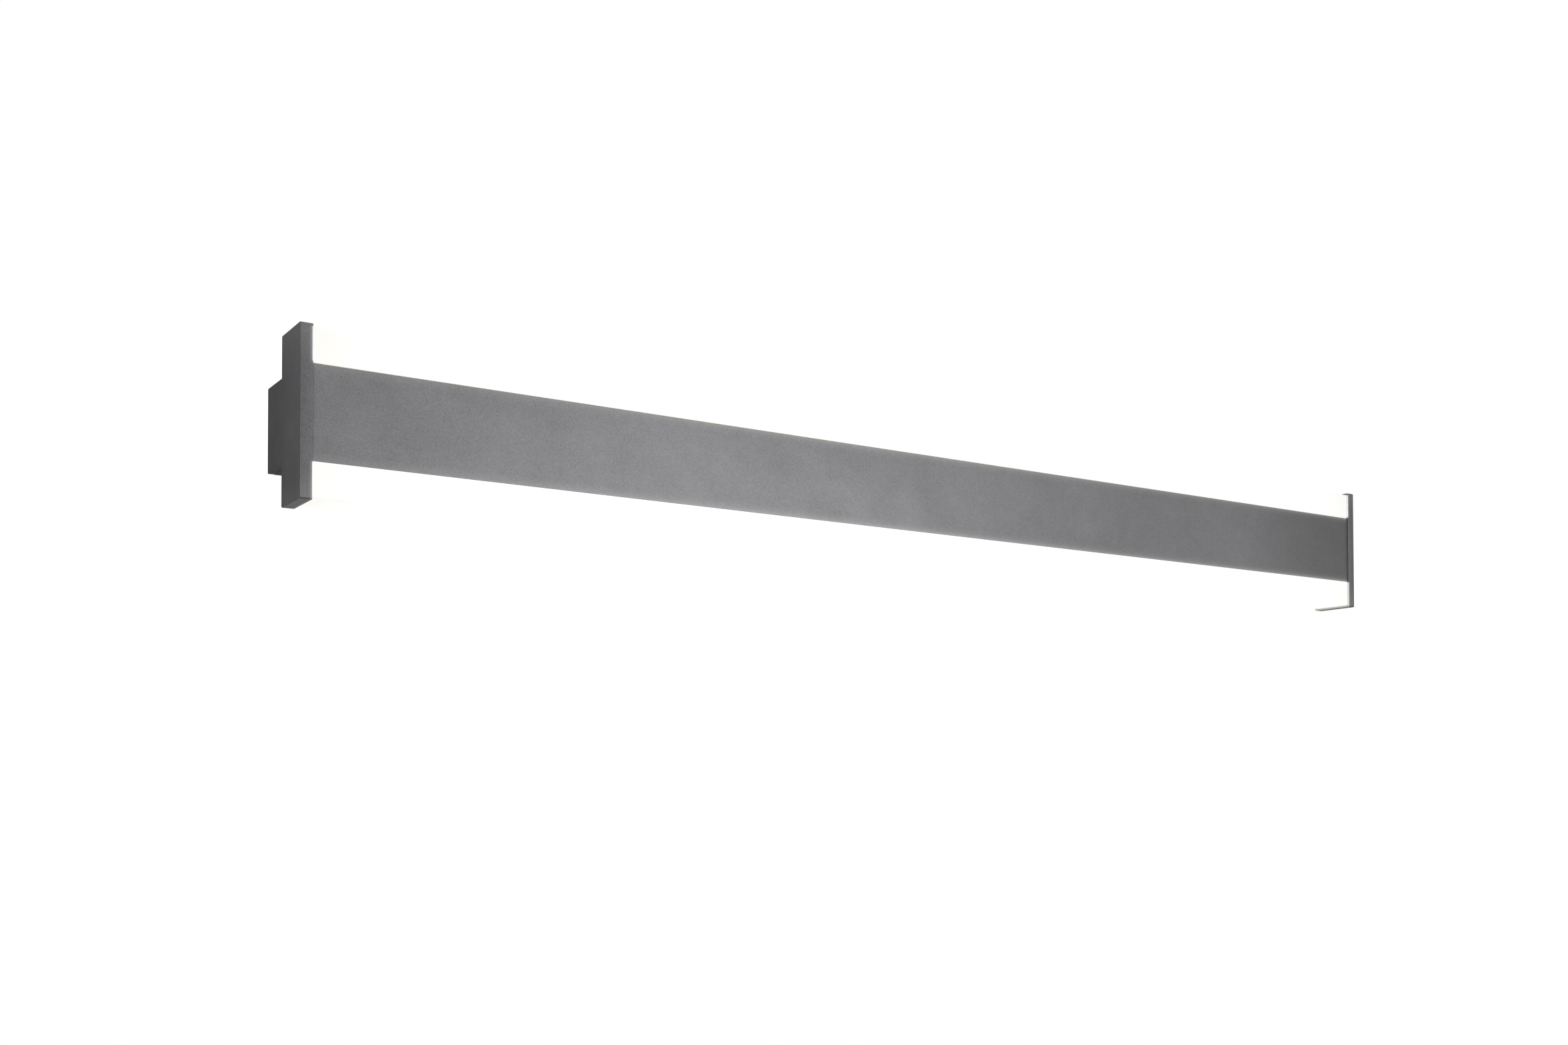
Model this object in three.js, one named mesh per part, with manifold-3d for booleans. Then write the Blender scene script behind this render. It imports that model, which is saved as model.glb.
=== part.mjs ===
// Linear wall light: an opal diffuser above and below an anthracite band, between two
// T-shaped end plates, on a stem that slides over a wall plate.
// Millimetres. X runs along the light, -Y points out of the wall and +Z is up.
// The origin lies on the wall, at the centre of the wall plate's back.
// Sections are drawn as [out, up]: the distance out of the wall, and the height.

import * as THREE from 'three';
import { mergeVertices } from 'three/addons/utils/BufferGeometryUtils.js';
import Module from 'manifold-3d';

const wasm = await Module();
wasm.setup();

// Overall sizes
const overallLength = 1000;
const overallHeight = 108;
const overallDepth = 69.5;
const stemHeight = 55;
const stemDepth = 31;
const bandHeight = 60;

// Clearances, and how far a cut runs past the faces that it opens
const seatGap = 0.3;
const wallGap = 0.5;
const cutOverrun = 1;

// End plates: a thick crossbar and a thinner stem with two screw lugs inside it
const plateThickness = 8;
const plateStemThickness = 3.8;
const plateCornerRadius = 1;
const plateEdgeBevel = 0.5;
const frontRecess = 1.2;
const topRecess = 1.5;
const lugLength = 16;
const lugWidth = 12;
const lugThickness = 8;
const lugSpacing = 26;

// Rear housing: a channel open to the wall, with a thread rib inside each flange
const housingWall = 2.5;
const threadRibWidth = 8;
const threadRibRaise = 1.5;
const threadRibOut = 9.5;
const housingEdgeRadius = 0.6;

// Core profile: a box section with rails for the diffusers and boards, and band hooks.
// The band reaches past it by the overlap, above and below.
const bandOverlap = 4;
const coreWall = 2;
const coreFinThickness = 1.5;
const railThickness = 1.5;
const railOverhang = 1.5;
const railLipThickness = 1.4;
const hookThickness = 1.5;
const hookDrop = 3;
const clipPocketDepth = 5.6;

// Front band, held by two barbed legs
const bandThickness = 2.2;
const bandAirGap = 1.7;
const bandEdgeRadius = 0.6;
const bandLegThickness = 1.5;
const barbLength = 1.8;
const barbRise = 1.8;

// Diffusers: opal channels with a foot on each leg
const diffuserWall = 2;
const diffuserCornerRadius = 1.5;

// Light boards, with a row of chips
const boardEndGap = 20;
const boardThickness = 1.5;
const chipLength = 3.5;
const chipWidth = 2.8;
const chipHeight = 0.7;
const chipPitch = 24;
const chipEndMargin = 40;

// Wall plate: a steel channel with fixing slots and a cable hole
const wallPlateEndGap = 30;
const wallPlateSteel = 1.5;
const wallPlateBend = 2;
const wallPlateFlange = 14;
const wallPlatePlay = 0.6;
const fixingSlotLength = 14;
const fixingSlotWidth = 5.5;
const cableHoleDiameter = 20;

// Cable grommet: a sleeve in the cable hole, a flange and a tapered nozzle
const grommetBore = 9;
const grommetFlange = 26;
const grommetFlangeThickness = 1.6;
const grommetNozzle = 14;
const grommetLength = 10;

// Screws: the larger ones reach through the core's back wall, the small ones the web
const coreScrew = { shank: 4, head: 8, headHeight: 2.4 };
const webScrew = { shank: 3, head: 5.6, headHeight: 1.8 };
const coreScrewProud = 1.5;
const screwClearance = 0.3;
const socketShare = 0.35;
const socketDepthShare = 0.6;
const grubDiameter = 4;
const grubSocketDiameter = 2;
const grubSocketDepth = 1.8;
const grubTipDiameter = 2;
const grubTipLength = 1;

// Light driver on the housing's web
const driverLength = 200;
const driverWidth = 30;
const driverHeight = 18;
const driverCornerRadius = 1.5;
const driverLugLength = 10;
const driverLugThickness = 2;
const driverPortPitch = 10;

// Terminal block with three levers on one pin
const terminalWidth = 24;
const terminalHeight = 9;
const terminalLugLength = 7;
const terminalLugWidth = 10;
const terminalLugThickness = 2.5;
const polePitch = 7;
const poleNames = ['live', 'neutral', 'earth'];
const cheekThickness = 1.2;
const cheekWidth = 6;
const leverHubRadius = 2;
const leverHubClearance = 0.4;
const leverSidePlay = 0.4;
const leverThickness = 2;
const leverLength = 11;
const leverTipLength = 2;
const leverTipRaise = 0.7;
const leverHingeUp = 8;
const leverPinDiameter = 1.5;

// Leads, their ports, and the bush and holes that they pass
const leadDiameter = 2.2;
const portDiameter = 3.2;
const portDepth = 7;
const leadPortInset = 4;
const leadHoleDiameter = 9.6;
const leadHoleGap = 30;
const leadBushWall = 1.3;
const leadBushFlange = 13;
const leadBushFlangeThickness = 1.2;
const boardLeadHole = 4.6;
const boardLeadHoleInset = 13;
const boardLeadArch = 6.8;
const boardLeadReach = 15;
const leadPairPitch = 3.6;
const leadInsertion = 6;
const leadStraight = 5;

// Earth screw and the ring lug under its head
const earthScrewUp = 10;
const lugRingDiameter = 8;
const lugSheet = 0.8;
const lugBarrelDiameter = 3.4;
const lugBarrelLength = 8;
const lugBarrelOffset = 6;

// Places and spacings along the light, as shares of its length
const driverShare = -0.19;
const cableHoleShare = 0.05;
const terminalShare = 0.12;
const earthScrewShare = 0.2;
const grubSpacingShares = [0.6];
const chassisSpacingShares = [0.06, 0.82];
const fixingSlotSpacingShares = [0.8, 0.3];

// Where the leads run, as shares of the x, out and up room between their fixed points
const liveRouteShares = [
  [0.99, 0.46, 0.7], [0.96, 0.39, 0.78], [0.88, 0.34, 0.78],
  [0.53, 0.34, 0.76], [0.2, 0.26, 0.6], [0.066, 0.08, 0.3]];
const neutralRouteShares = [
  [0.991, 0.68, 0.62], [0.961, 0.83, 0.64], [0.883, 0.83, 0.58], [0.51, 0.79, 0.54],
  [0.32, 0.63, 0.46], [0.17, 0.3, 0.18], [0.063, 0.08, -0.12]];
const earthRouteShares = [[0.04, 0.22, 0.64], [0.16, 0.38, 0.66], [0.49, 0.54, 0.5]];
const bushRouteShares = [[0.4, 0.06, 0.56], [0.12, 0.3, 0.12]];
const coreRouteShares = [
  [0.966, 0.72, 0.09], [0.89, 0.92, 0.24], [0.53, 1, 0.39], [0.14, 1, 0.48],
  [0.034, 1, 0.63]];
const archRouteShares = [[0.14, 0, 0.91], [0.41, 0, 1], [0.57, 0, 0.5], [0.77, 0, 0.04]];

// How finely round shapes are cut
const screwSides = 12;
const holeSides = 16;
const leadSides = 8;
const stemLeadSteps = 40;
const earthLeadSteps = 20;
const boardLeadSteps = 60;
const arcSteps = 4;

// Finishes
const finish = (color, roughness, metalness) => (
  new THREE.MeshStandardMaterial({ color, roughness, metalness }));
const anthracite = () => finish(0x47474b, 0.55, 0.35);
const opal = () => {
  const material = finish(0xfbfaf4, 0.5, 0);
  material.emissive = new THREE.Color(0xfbfaf0);
  return material;
};
const bareAluminium = () => finish(0xb9bcc0, 0.4, 0.9);
const zincSteel = () => finish(0xa9adb0, 0.45, 0.85);
const blackRubber = () => finish(0x1b1b1c, 0.8, 0);
const whitePlastic = () => finish(0xe6e6e2, 0.45, 0);
const greyPlastic = () => finish(0x9a9c9e, 0.5, 0);
const orangePlastic = () => finish(0xd9742a, 0.45, 0);
const boardWhite = () => finish(0xf1f1ec, 0.5, 0);
const leadFinish = {
  live: () => finish(0x6b4024, 0.5, 0),
  neutral: () => finish(0x2456a0, 0.5, 0),
  earth: () => finish(0x7a9a2a, 0.5, 0),
  board: () => finish(0xd8d8d4, 0.5, 0),
};

// Heights and distances that several pieces share
const halfLength = overallLength / 2;
const stemHalf = stemHeight / 2;
const bandHalf = bandHeight / 2;
const coreHalf = bandHalf - bandOverlap;
const plateInner = halfLength - plateThickness;
const stemInner = halfLength - plateStemThickness;
const profileEnd = plateInner - seatGap;
const housingEnd = stemInner - seatGap;
const housingInnerHalf = stemHalf - housingWall;
const housingFront = stemDepth - seatGap;
const webBack = housingFront - housingWall;
const webSeat = webBack - seatGap;
const bandFront = overallDepth - frontRecess;
const bandBack = bandFront - bandThickness;
const coreFront = bandBack - bandAirGap;
const coreInnerHalf = coreHalf - coreWall;
const coreFrontWall = coreFront - clipPocketDepth;
const railLipUnder = coreHalf + seatGap + boardThickness + seatGap;
const railLipTop = railLipUnder + railLipThickness;
const diffuserBack = stemDepth + coreFinThickness + seatGap;
const diffuserTop = overallHeight / 2 - topRecess;
const backRail = diffuserBack + diffuserWall + seatGap + railOverhang;
const frontRail = coreFront - diffuserWall - seatGap - railOverhang - railThickness;
const hookBottom = coreInnerHalf - hookDrop;
const plateHalf = housingInnerHalf - threadRibRaise - wallPlatePlay;
const coreInnerBack = stemDepth + coreWall;
const lugScrewX = stemInner - lugLength / 2;
const lugScrewUp = lugSpacing / 2;
const boardHalf = profileEnd - boardEndGap;
const wallPlateEnd = halfLength - wallPlateEndGap;

// Places along the light
const driverX = driverShare * overallLength;
const driverEnd = driverX + driverLength / 2;
const driverStart = driverX - driverLength / 2;
const cableHoleX = cableHoleShare * overallLength;
const terminalX = terminalShare * overallLength;
const earthScrewX = earthScrewShare * overallLength;
const leadHoleX = driverStart - driverLugLength - leadHoleGap;
const boardLeadHoleX = boardLeadHoleInset - profileEnd;

// Booleans on closed meshes
const solidOf = (geometry) => {
  const bare = geometry.clone();
  bare.deleteAttribute('normal');
  bare.deleteAttribute('uv');
  const merged = mergeVertices(bare);
  return new wasm.Manifold(new wasm.Mesh({
    numProp: 3,
    vertProperties: new Float32Array(merged.attributes.position.array),
    triVerts: new Uint32Array(merged.index.array),
  }));
};
const geometryOf = (solid) => {
  const mesh = solid.getMesh();
  const geometry = new THREE.BufferGeometry();
  geometry.setAttribute('position', new THREE.BufferAttribute(mesh.vertProperties, mesh.numProp));
  geometry.setIndex(new THREE.BufferAttribute(mesh.triVerts, 1));
  geometry.computeVertexNormals();
  return geometry;
};
const joined = (first, ...others) => (
  geometryOf(others.reduce((solid, other) => solid.add(solidOf(other)), solidOf(first))));
const cut = (body, ...tools) => (
  geometryOf(tools.reduce((solid, tool) => solid.subtract(solidOf(tool)), solidOf(body))));

// A closed outline through [a, b] corners; a third value rounds that corner
const outline = (corners) => {
  const shape = new THREE.Shape();
  const point = (index) => new THREE.Vector2(...corners.at(index % corners.length));
  corners.forEach(([a, b, radius = 0], index) => {
    const corner = new THREE.Vector2(a, b);
    const towards = (other) => other.clone().sub(corner).setLength(radius).add(corner);
    const start = radius ? towards(point(index - 1)) : corner;
    if (index === 0) shape.moveTo(start.x, start.y);
    else shape.lineTo(start.x, start.y);
    if (radius) {
      const end = towards(point(index + 1));
      shape.quadraticCurveTo(a, b, end.x, end.y);
    }
  });
  return shape;
};
// A half section and its mirror image below the middle
const bothHalves = (half) => [
  ...half,
  ...half.toReversed().map(([out, up, ...radius]) => [out, -up, ...radius]),
];
const circle = (radius, sides) => new THREE.Shape(
  Array.from({ length: sides }, (_, index) => {
    const angle = (2 * Math.PI * index) / sides;
    return new THREE.Vector2(radius * Math.cos(angle), radius * Math.sin(angle));
  }));

// An [out, up] section run along X, with its end edges bevelled
const alongX = (shape, low, high, bevel = 0) => {
  const geometry = new THREE.ExtrudeGeometry(shape, {
    depth: high - low - 2 * bevel,
    bevelEnabled: bevel > 0,
    bevelThickness: bevel,
    bevelSize: bevel,
    bevelOffset: -bevel,
    bevelSegments: 2,
    curveSegments: arcSteps,
  });
  const basis = new THREE.Matrix4().makeBasis(
    new THREE.Vector3(0, -1, 0), new THREE.Vector3(0, 0, 1), new THREE.Vector3(-1, 0, 0));
  return geometry.applyMatrix4(basis).translate(high - bevel, 0, 0);
};
// An [x, up] outline run out of the wall between two distances
const outOfWall = (shape, near, far) => {
  const geometry = new THREE.ExtrudeGeometry(shape, {
    depth: far - near, bevelEnabled: false, curveSegments: arcSteps });
  return geometry.rotateX(Math.PI / 2).translate(0, -near, 0);
};
// A block between low and high values of x, out and up
const block = ([x0, x1], [out0, out1], [up0, up1]) => (
  new THREE.BoxGeometry(x1 - x0, out1 - out0, up1 - up0)
    .translate((x0 + x1) / 2, -(out0 + out1) / 2, (up0 + up1) / 2));
const around = (middle, width) => [middle - width / 2, middle + width / 2];
const span = (from, to) => [Math.min(from, to), Math.max(from, to)];
// Round rods along each axis
const rodOut = (diameter, x, up, near, far, sides = holeSides) => (
  new THREE.CylinderGeometry(diameter / 2, diameter / 2, far - near, sides)
    .translate(x, -(near + far) / 2, up));
const rodUp = (diameter, x, out, low, high, sides = holeSides) => (
  new THREE.CylinderGeometry(diameter / 2, diameter / 2, high - low, sides)
    .rotateX(Math.PI / 2).translate(x, -out, (low + high) / 2));
const rodAlong = (diameter, out, up, low, high, sides = holeSides) => (
  new THREE.CylinderGeometry(diameter / 2, diameter / 2, high - low, sides)
    .rotateZ(Math.PI / 2).translate((low + high) / 2, -out, up));
// A turned piece on the Y axis, from [radius, height] pairs
const turned = (profile, sides) => new THREE.LatheGeometry(
  profile.map(([radius, height]) => new THREE.Vector2(radius, height)), sides);

const light = new THREE.Group();
const add = (name, geometry, material) => {
  const mesh = new THREE.Mesh(geometry, material);
  mesh.name = name;
  light.add(mesh);
  return mesh;
};
const ends = [['left', -1], ['right', 1]];
const levels = [['upper', 1], ['lower', -1]];
const spacedOut = (shares) => (
  shares.flatMap((share) => [-share * halfLength, share * halfLength]).sort((a, b) => a - b));

// Screws, with the head towards the wall and the socket in it
const clearanceHole = ({ shank }) => shank + 2 * screwClearance;
const screw = ({ shank, head, headHeight }, length) => turned([
  [0, -length],
  [shank / 2 - screwClearance, -length],
  [shank / 2, screwClearance - length],
  [shank / 2, 0],
  [head / 2, 0],
  [head / 2, headHeight * socketDepthShare],
  [head / 2 - screwClearance, headHeight],
  [(head * socketShare) / 2, headHeight],
  [(head * socketShare) / 2, headHeight * (1 - socketDepthShare)],
  [0, headHeight * (1 - socketDepthShare)],
], screwSides);
const screwTip = new Map([
  [coreScrew, coreInnerBack + coreScrewProud],
  [webScrew, housingFront - seatGap],
]);
const addScrew = (name, size, x, headUnder, up) => {
  const geometry = screw(size, screwTip.get(size) - headUnder);
  add(name, geometry, zincSteel()).position.set(x, -headUnder, up);
};

const lugScrews = ends.flatMap(([side, sign]) => levels.map(([level, upSign]) => (
  { name: `end_plate_screw_${side}_${level}`, x: sign * lugScrewX, up: upSign * lugScrewUp })));
const chassisScrewXs = spacedOut(chassisSpacingShares);
const driverScrewXs = around(driverX, driverLength + driverLugLength);
const terminalLength = poleNames.length * polePitch + cheekThickness;
const terminalScrewXs = around(terminalX, terminalLength + terminalLugLength);
const grubXs = spacedOut(grubSpacingShares);

// End plates
const endPlate = (sign) => {
  const shape = outline(bothHalves([
    [wallGap, stemHalf, plateCornerRadius],
    [stemDepth, stemHalf],
    [stemDepth, overallHeight / 2, plateCornerRadius],
    [overallDepth, overallHeight / 2, plateCornerRadius],
  ]));
  const stemRebate = block(
    span(sign * stemInner, sign * (plateInner - cutOverrun)),
    [-cutOverrun, stemDepth],
    [-overallHeight, overallHeight]);
  const lugs = levels.map(([, upSign]) => block(
    span(sign * (stemInner + plateStemThickness / 2), sign * (stemInner - lugLength)),
    [webSeat - lugThickness, webSeat],
    around(upSign * lugScrewUp, lugWidth)));
  const holes = levels.map(([, upSign]) => rodOut(
    clearanceHole(coreScrew), sign * lugScrewX, upSign * lugScrewUp,
    webSeat - lugThickness - cutOverrun, webSeat + cutOverrun));
  const bevel = Math.min(plateEdgeBevel, plateCornerRadius / 2);
  const plate = alongX(shape, ...span(sign * halfLength, sign * plateInner), bevel);
  return cut(joined(cut(plate, stemRebate), ...lugs), ...holes);
};
ends.forEach(([side, sign]) => add(`end_plate_${side}`, endPlate(sign), anthracite()));
lugScrews.forEach(({ name, x, up }) => (
  addScrew(name, coreScrew, x, webSeat - lugThickness - seatGap, up)));

// Rear housing
const threadRib = around(threadRibOut, threadRibWidth);
const housingSection = outline(bothHalves([
  [webBack, housingInnerHalf],
  [threadRib[1], housingInnerHalf],
  [threadRib[1], housingInnerHalf - threadRibRaise],
  [threadRib[0], housingInnerHalf - threadRibRaise],
  [threadRib[0], housingInnerHalf],
  [wallGap, housingInnerHalf],
  [wallGap, stemHalf, housingEdgeRadius],
  [housingFront, stemHalf],
]));
const webHole = (diameter, x, up) => rodOut(
  diameter, x, up, webBack - cutOverrun, housingFront + cutOverrun);
const webHoles = [
  ...lugScrews.map(({ x, up }) => webHole(clearanceHole(coreScrew), x, up)),
  ...chassisScrewXs.map((x) => webHole(clearanceHole(coreScrew), x, 0)),
  ...driverScrewXs.map((x) => webHole(clearanceHole(webScrew), x, 0)),
  ...terminalScrewXs.map((x) => webHole(clearanceHole(webScrew), x, 0)),
  webHole(clearanceHole(webScrew), earthScrewX, earthScrewUp),
  webHole(leadHoleDiameter, leadHoleX, 0),
];
const grubHoles = grubXs.flatMap((x) => levels.map(([, upSign]) => rodUp(
  grubDiameter + 2 * screwClearance, x, threadRibOut,
  ...span(upSign * (plateHalf - cutOverrun), upSign * (stemHalf + cutOverrun)))));
add('rear_housing', cut(
  alongX(housingSection, -housingEnd, housingEnd), ...webHoles, ...grubHoles), anthracite());

// Core profile
const rail = (start) => [
  [start, coreHalf],
  [start, railLipUnder],
  [start - railOverhang, railLipUnder],
  [start - railOverhang, railLipTop],
  [start + railThickness + railOverhang, railLipTop],
  [start + railThickness + railOverhang, railLipUnder],
  [start + railThickness, railLipUnder],
  [start + railThickness, coreHalf],
];
const coreSection = outline(bothHalves([
  [stemDepth, bandHalf],
  [stemDepth + coreFinThickness, bandHalf],
  [stemDepth + coreFinThickness, coreHalf],
  ...rail(backRail),
  ...rail(frontRail),
  [coreFront, coreHalf],
  [coreFront, hookBottom],
  [coreFront - hookThickness, hookBottom],
  [coreFront - hookThickness, coreInnerHalf],
  [coreFrontWall, coreInnerHalf],
]));
const coreHollow = block(
  [-halfLength, halfLength],
  [coreInnerBack, coreFrontWall - coreWall],
  [-coreInnerHalf, coreInnerHalf]);
const coreHole = (diameter, x, up) => rodOut(
  diameter, x, up, stemDepth - cutOverrun, coreInnerBack + cutOverrun);
const boardCentre = (backRail + railThickness + frontRail) / 2;
const coreHoles = [
  ...lugScrews.map(({ x, up }) => coreHole(clearanceHole(coreScrew), x, up)),
  ...chassisScrewXs.map((x) => coreHole(clearanceHole(coreScrew), x, 0)),
  coreHole(leadHoleDiameter, leadHoleX, 0),
  ...levels.map(([, upSign]) => rodUp(
    boardLeadHole, boardLeadHoleX, boardCentre,
    ...span(upSign * (coreInnerHalf - cutOverrun), upSign * (coreHalf + cutOverrun)))),
];
add('core_profile', cut(
  alongX(coreSection, -profileEnd, profileEnd), coreHollow, ...coreHoles), bareAluminium());
chassisScrewXs.forEach((x, index) => (
  addScrew(`chassis_screw_${index + 1}`, coreScrew, x, webSeat, 0)));

// Front band
const bandLegTop = hookBottom - seatGap;
const bandLegBottom = bandLegTop - bandLegThickness;
const barbFront = coreFront - hookThickness - seatGap;
const bandSection = outline(bothHalves([
  [bandBack, bandLegBottom],
  [barbFront - barbLength, bandLegBottom],
  [barbFront - barbLength, bandLegTop],
  [barbFront - barbLength / 2, bandLegTop + barbRise],
  [barbFront, bandLegTop + barbRise],
  [barbFront, bandLegTop],
  [bandBack, bandLegTop],
  [bandBack, bandHalf],
  [bandFront, bandHalf, bandEdgeRadius],
]));
add('front_band', alongX(bandSection, -profileEnd, profileEnd), anthracite());

// Diffusers
const diffuserFoot = coreHalf + seatGap;
const shelfUp = bandHalf + seatGap;
const innerRadius = diffuserCornerRadius / 2;
const diffuserSection = (upSign) => outline([
  [diffuserBack, diffuserFoot],
  [diffuserBack, diffuserTop, diffuserCornerRadius],
  [bandFront, diffuserTop, diffuserCornerRadius],
  [bandFront, shelfUp],
  [coreFront, shelfUp],
  [coreFront, diffuserFoot],
  [frontRail + railThickness + seatGap, diffuserFoot],
  [frontRail + railThickness + seatGap, diffuserFoot + boardThickness],
  [coreFront - diffuserWall, diffuserFoot + boardThickness],
  [coreFront - diffuserWall, shelfUp + diffuserWall],
  [bandFront - diffuserWall, shelfUp + diffuserWall],
  [bandFront - diffuserWall, diffuserTop - diffuserWall, innerRadius],
  [diffuserBack + diffuserWall, diffuserTop - diffuserWall, innerRadius],
  [diffuserBack + diffuserWall, diffuserFoot + boardThickness],
  [backRail - seatGap, diffuserFoot + boardThickness],
  [backRail - seatGap, diffuserFoot],
].map(([out, up, ...radius]) => [out, upSign * up, ...radius]));
levels.forEach(([level, upSign]) => add(
  `diffuser_${level}`, alongX(diffuserSection(upSign), -profileEnd, profileEnd), opal()));

// Light boards
const boardBottom = coreHalf + seatGap;
const chipCount = Math.floor((2 * (boardHalf - chipEndMargin)) / chipPitch) + 1;
const firstChipX = -((chipCount - 1) * chipPitch) / 2;
const lightBoard = (upSign) => {
  const boardTop = boardBottom + boardThickness;
  const strip = block(
    [-boardHalf, boardHalf],
    [backRail + railThickness + seatGap, frontRail - seatGap],
    span(upSign * boardBottom, upSign * boardTop));
  const chips = Array.from({ length: chipCount }, (_, index) => block(
    around(firstChipX + index * chipPitch, chipLength),
    around(boardCentre, chipWidth),
    span(upSign * (boardTop - boardThickness / 2), upSign * (boardTop + chipHeight))));
  return joined(strip, ...chips);
};
levels.forEach(([level, upSign]) => add(
  `light_board_${level}`, lightBoard(upSign), boardWhite()));

// Wall plate
const channelShape = outline(bothHalves([
  [wallPlateSteel, plateHalf - wallPlateSteel],
  [wallPlateFlange, plateHalf - wallPlateSteel],
  [wallPlateFlange, plateHalf],
  [0, plateHalf, wallPlateBend],
]));
const slotShape = (x) => {
  const straight = (fixingSlotLength - fixingSlotWidth) / 2;
  const radius = fixingSlotWidth / 2;
  const shape = new THREE.Shape();
  shape.absarc(x + straight, 0, radius, -Math.PI / 2, Math.PI / 2);
  shape.absarc(x - straight, 0, radius, Math.PI / 2, (3 * Math.PI) / 2);
  return shape;
};
const fixingSlots = spacedOut(fixingSlotSpacingShares).map((x) => (
  outOfWall(slotShape(x), -cutOverrun, wallPlateSteel + cutOverrun)));
const cableHole = rodOut(
  cableHoleDiameter, cableHoleX, 0, -cutOverrun, wallPlateSteel + cutOverrun);
add('wall_plate', cut(
  alongX(channelShape, -wallPlateEnd, wallPlateEnd), ...fixingSlots, cableHole), zincSteel());

// Cable grommet, lying on the wall plate's inner face
const grommetFace = wallPlateSteel + seatGap;
add('cable_grommet', turned([
  [grommetBore / 2, -grommetLength],
  [grommetNozzle / 2, -grommetLength],
  [cableHoleDiameter / 2 - seatGap, -grommetFace - grommetFlangeThickness],
  [grommetFlange / 2, -grommetFace - grommetFlangeThickness],
  [grommetFlange / 2, -grommetFace],
  [cableHoleDiameter / 2 - seatGap, -grommetFace],
  [cableHoleDiameter / 2 - seatGap, -seatGap],
  [grommetBore / 2, -seatGap],
  [grommetBore / 2, -grommetLength],
], holeSides), blackRubber()).position.set(cableHoleX, 0, 0);

// Grub screws, from the housing's flanges towards the wall plate's
const grubLength = stemHalf - seatGap - plateHalf - seatGap;
const grub = () => turned([
  [0, -grubLength],
  [grubTipDiameter / 2, -grubLength],
  [grubDiameter / 2, grubTipLength - grubLength],
  [grubDiameter / 2, 0],
  [grubSocketDiameter / 2, 0],
  [grubSocketDiameter / 2, -grubSocketDepth],
  [0, -grubSocketDepth],
], screwSides).rotateX(Math.PI / 2);
grubXs.forEach((x, index) => levels.forEach(([level, upSign]) => {
  const mesh = add(`locking_screw_${level}_${index + 1}`, grub(), zincSteel());
  mesh.position.set(x, -threadRibOut, upSign * (stemHalf - seatGap));
  if (upSign < 0) mesh.rotation.x = Math.PI;
}));

// Light driver
const driverPortOut = webSeat - driverHeight / 2;
const driverPorts = ends.flatMap(([, sign]) => levels.map(([, upSign]) => {
  const face = driverX + (sign * driverLength) / 2;
  return rodAlong(
    portDiameter, driverPortOut, (upSign * driverPortPitch) / 2,
    ...span(face - sign * portDepth, face + sign * cutOverrun));
}));
const driverCase = outOfWall(outline([
  [driverStart, -driverWidth / 2, driverCornerRadius],
  [driverEnd, -driverWidth / 2, driverCornerRadius],
  [driverEnd, driverWidth / 2, driverCornerRadius],
  [driverStart, driverWidth / 2, driverCornerRadius],
]), webSeat - driverHeight, webSeat);
const driverFoot = block(
  around(driverX, driverLength + 2 * driverLugLength),
  [webSeat - driverLugThickness, webSeat],
  around(0, driverWidth - 2 * driverCornerRadius));
const driverHoles = driverScrewXs.map((x) => rodOut(
  clearanceHole(webScrew), x, 0,
  webSeat - driverLugThickness - cutOverrun, webSeat + cutOverrun));
add('light_driver', cut(joined(driverCase, driverFoot), ...driverPorts, ...driverHoles),
  whitePlastic());
driverScrewXs.forEach((x, index) => addScrew(
  `driver_screw_${index + 1}`, webScrew, x, webSeat - driverLugThickness - seatGap, 0));

// Terminal block, its lever pin and its levers
const terminalFace = webSeat - terminalHeight;
const hingeOut = terminalFace - leverHubRadius - leverHubClearance;
const cheekTop = hingeOut - leverHubRadius - leverHubClearance;
const pinHole = leverPinDiameter + 2 * screwClearance;
const poleX = (index) => terminalX + (index - (poleNames.length - 1) / 2) * polePitch;
const poleXs = poleNames.map((_, index) => poleX(index));
const leadPortOut = terminalFace + leadPortInset;
const terminalBody = block(
  around(terminalX, terminalLength),
  [terminalFace, webSeat],
  around(0, terminalWidth));
const terminalFoot = block(
  around(terminalX, terminalLength + 2 * terminalLugLength),
  [webSeat - terminalLugThickness, webSeat],
  around(0, terminalLugWidth));
const cheeks = Array.from({ length: poleNames.length + 1 }, (_, index) => block(
  around(poleX(index) - polePitch / 2, cheekThickness),
  [cheekTop, terminalFace + cheekThickness],
  around(leverHingeUp, cheekWidth)));
const terminalCuts = [
  rodAlong(pinHole, hingeOut, leverHingeUp,
    terminalX - terminalLength, terminalX + terminalLength, screwSides),
  ...poleXs.flatMap((x) => levels.map(([, upSign]) => rodUp(
    portDiameter, x, leadPortOut,
    ...span(upSign * (terminalWidth / 2 - portDepth), upSign * (terminalWidth / 2 + cutOverrun)),
    screwSides))),
  ...terminalScrewXs.map((x) => rodOut(
    clearanceHole(webScrew), x, 0,
    webSeat - terminalLugThickness - cutOverrun, webSeat + cutOverrun, screwSides)),
];
add('terminal_block', cut(joined(terminalBody, terminalFoot, ...cheeks), ...terminalCuts),
  greyPlastic());
terminalScrewXs.forEach((x, index) => addScrew(
  `terminal_screw_${index + 1}`, webScrew, x, webSeat - terminalLugThickness - seatGap, 0));
add('lever_pin', rodAlong(
  leverPinDiameter, hingeOut, leverHingeUp, ...around(terminalX, terminalLength), screwSides),
zincSteel());
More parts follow.
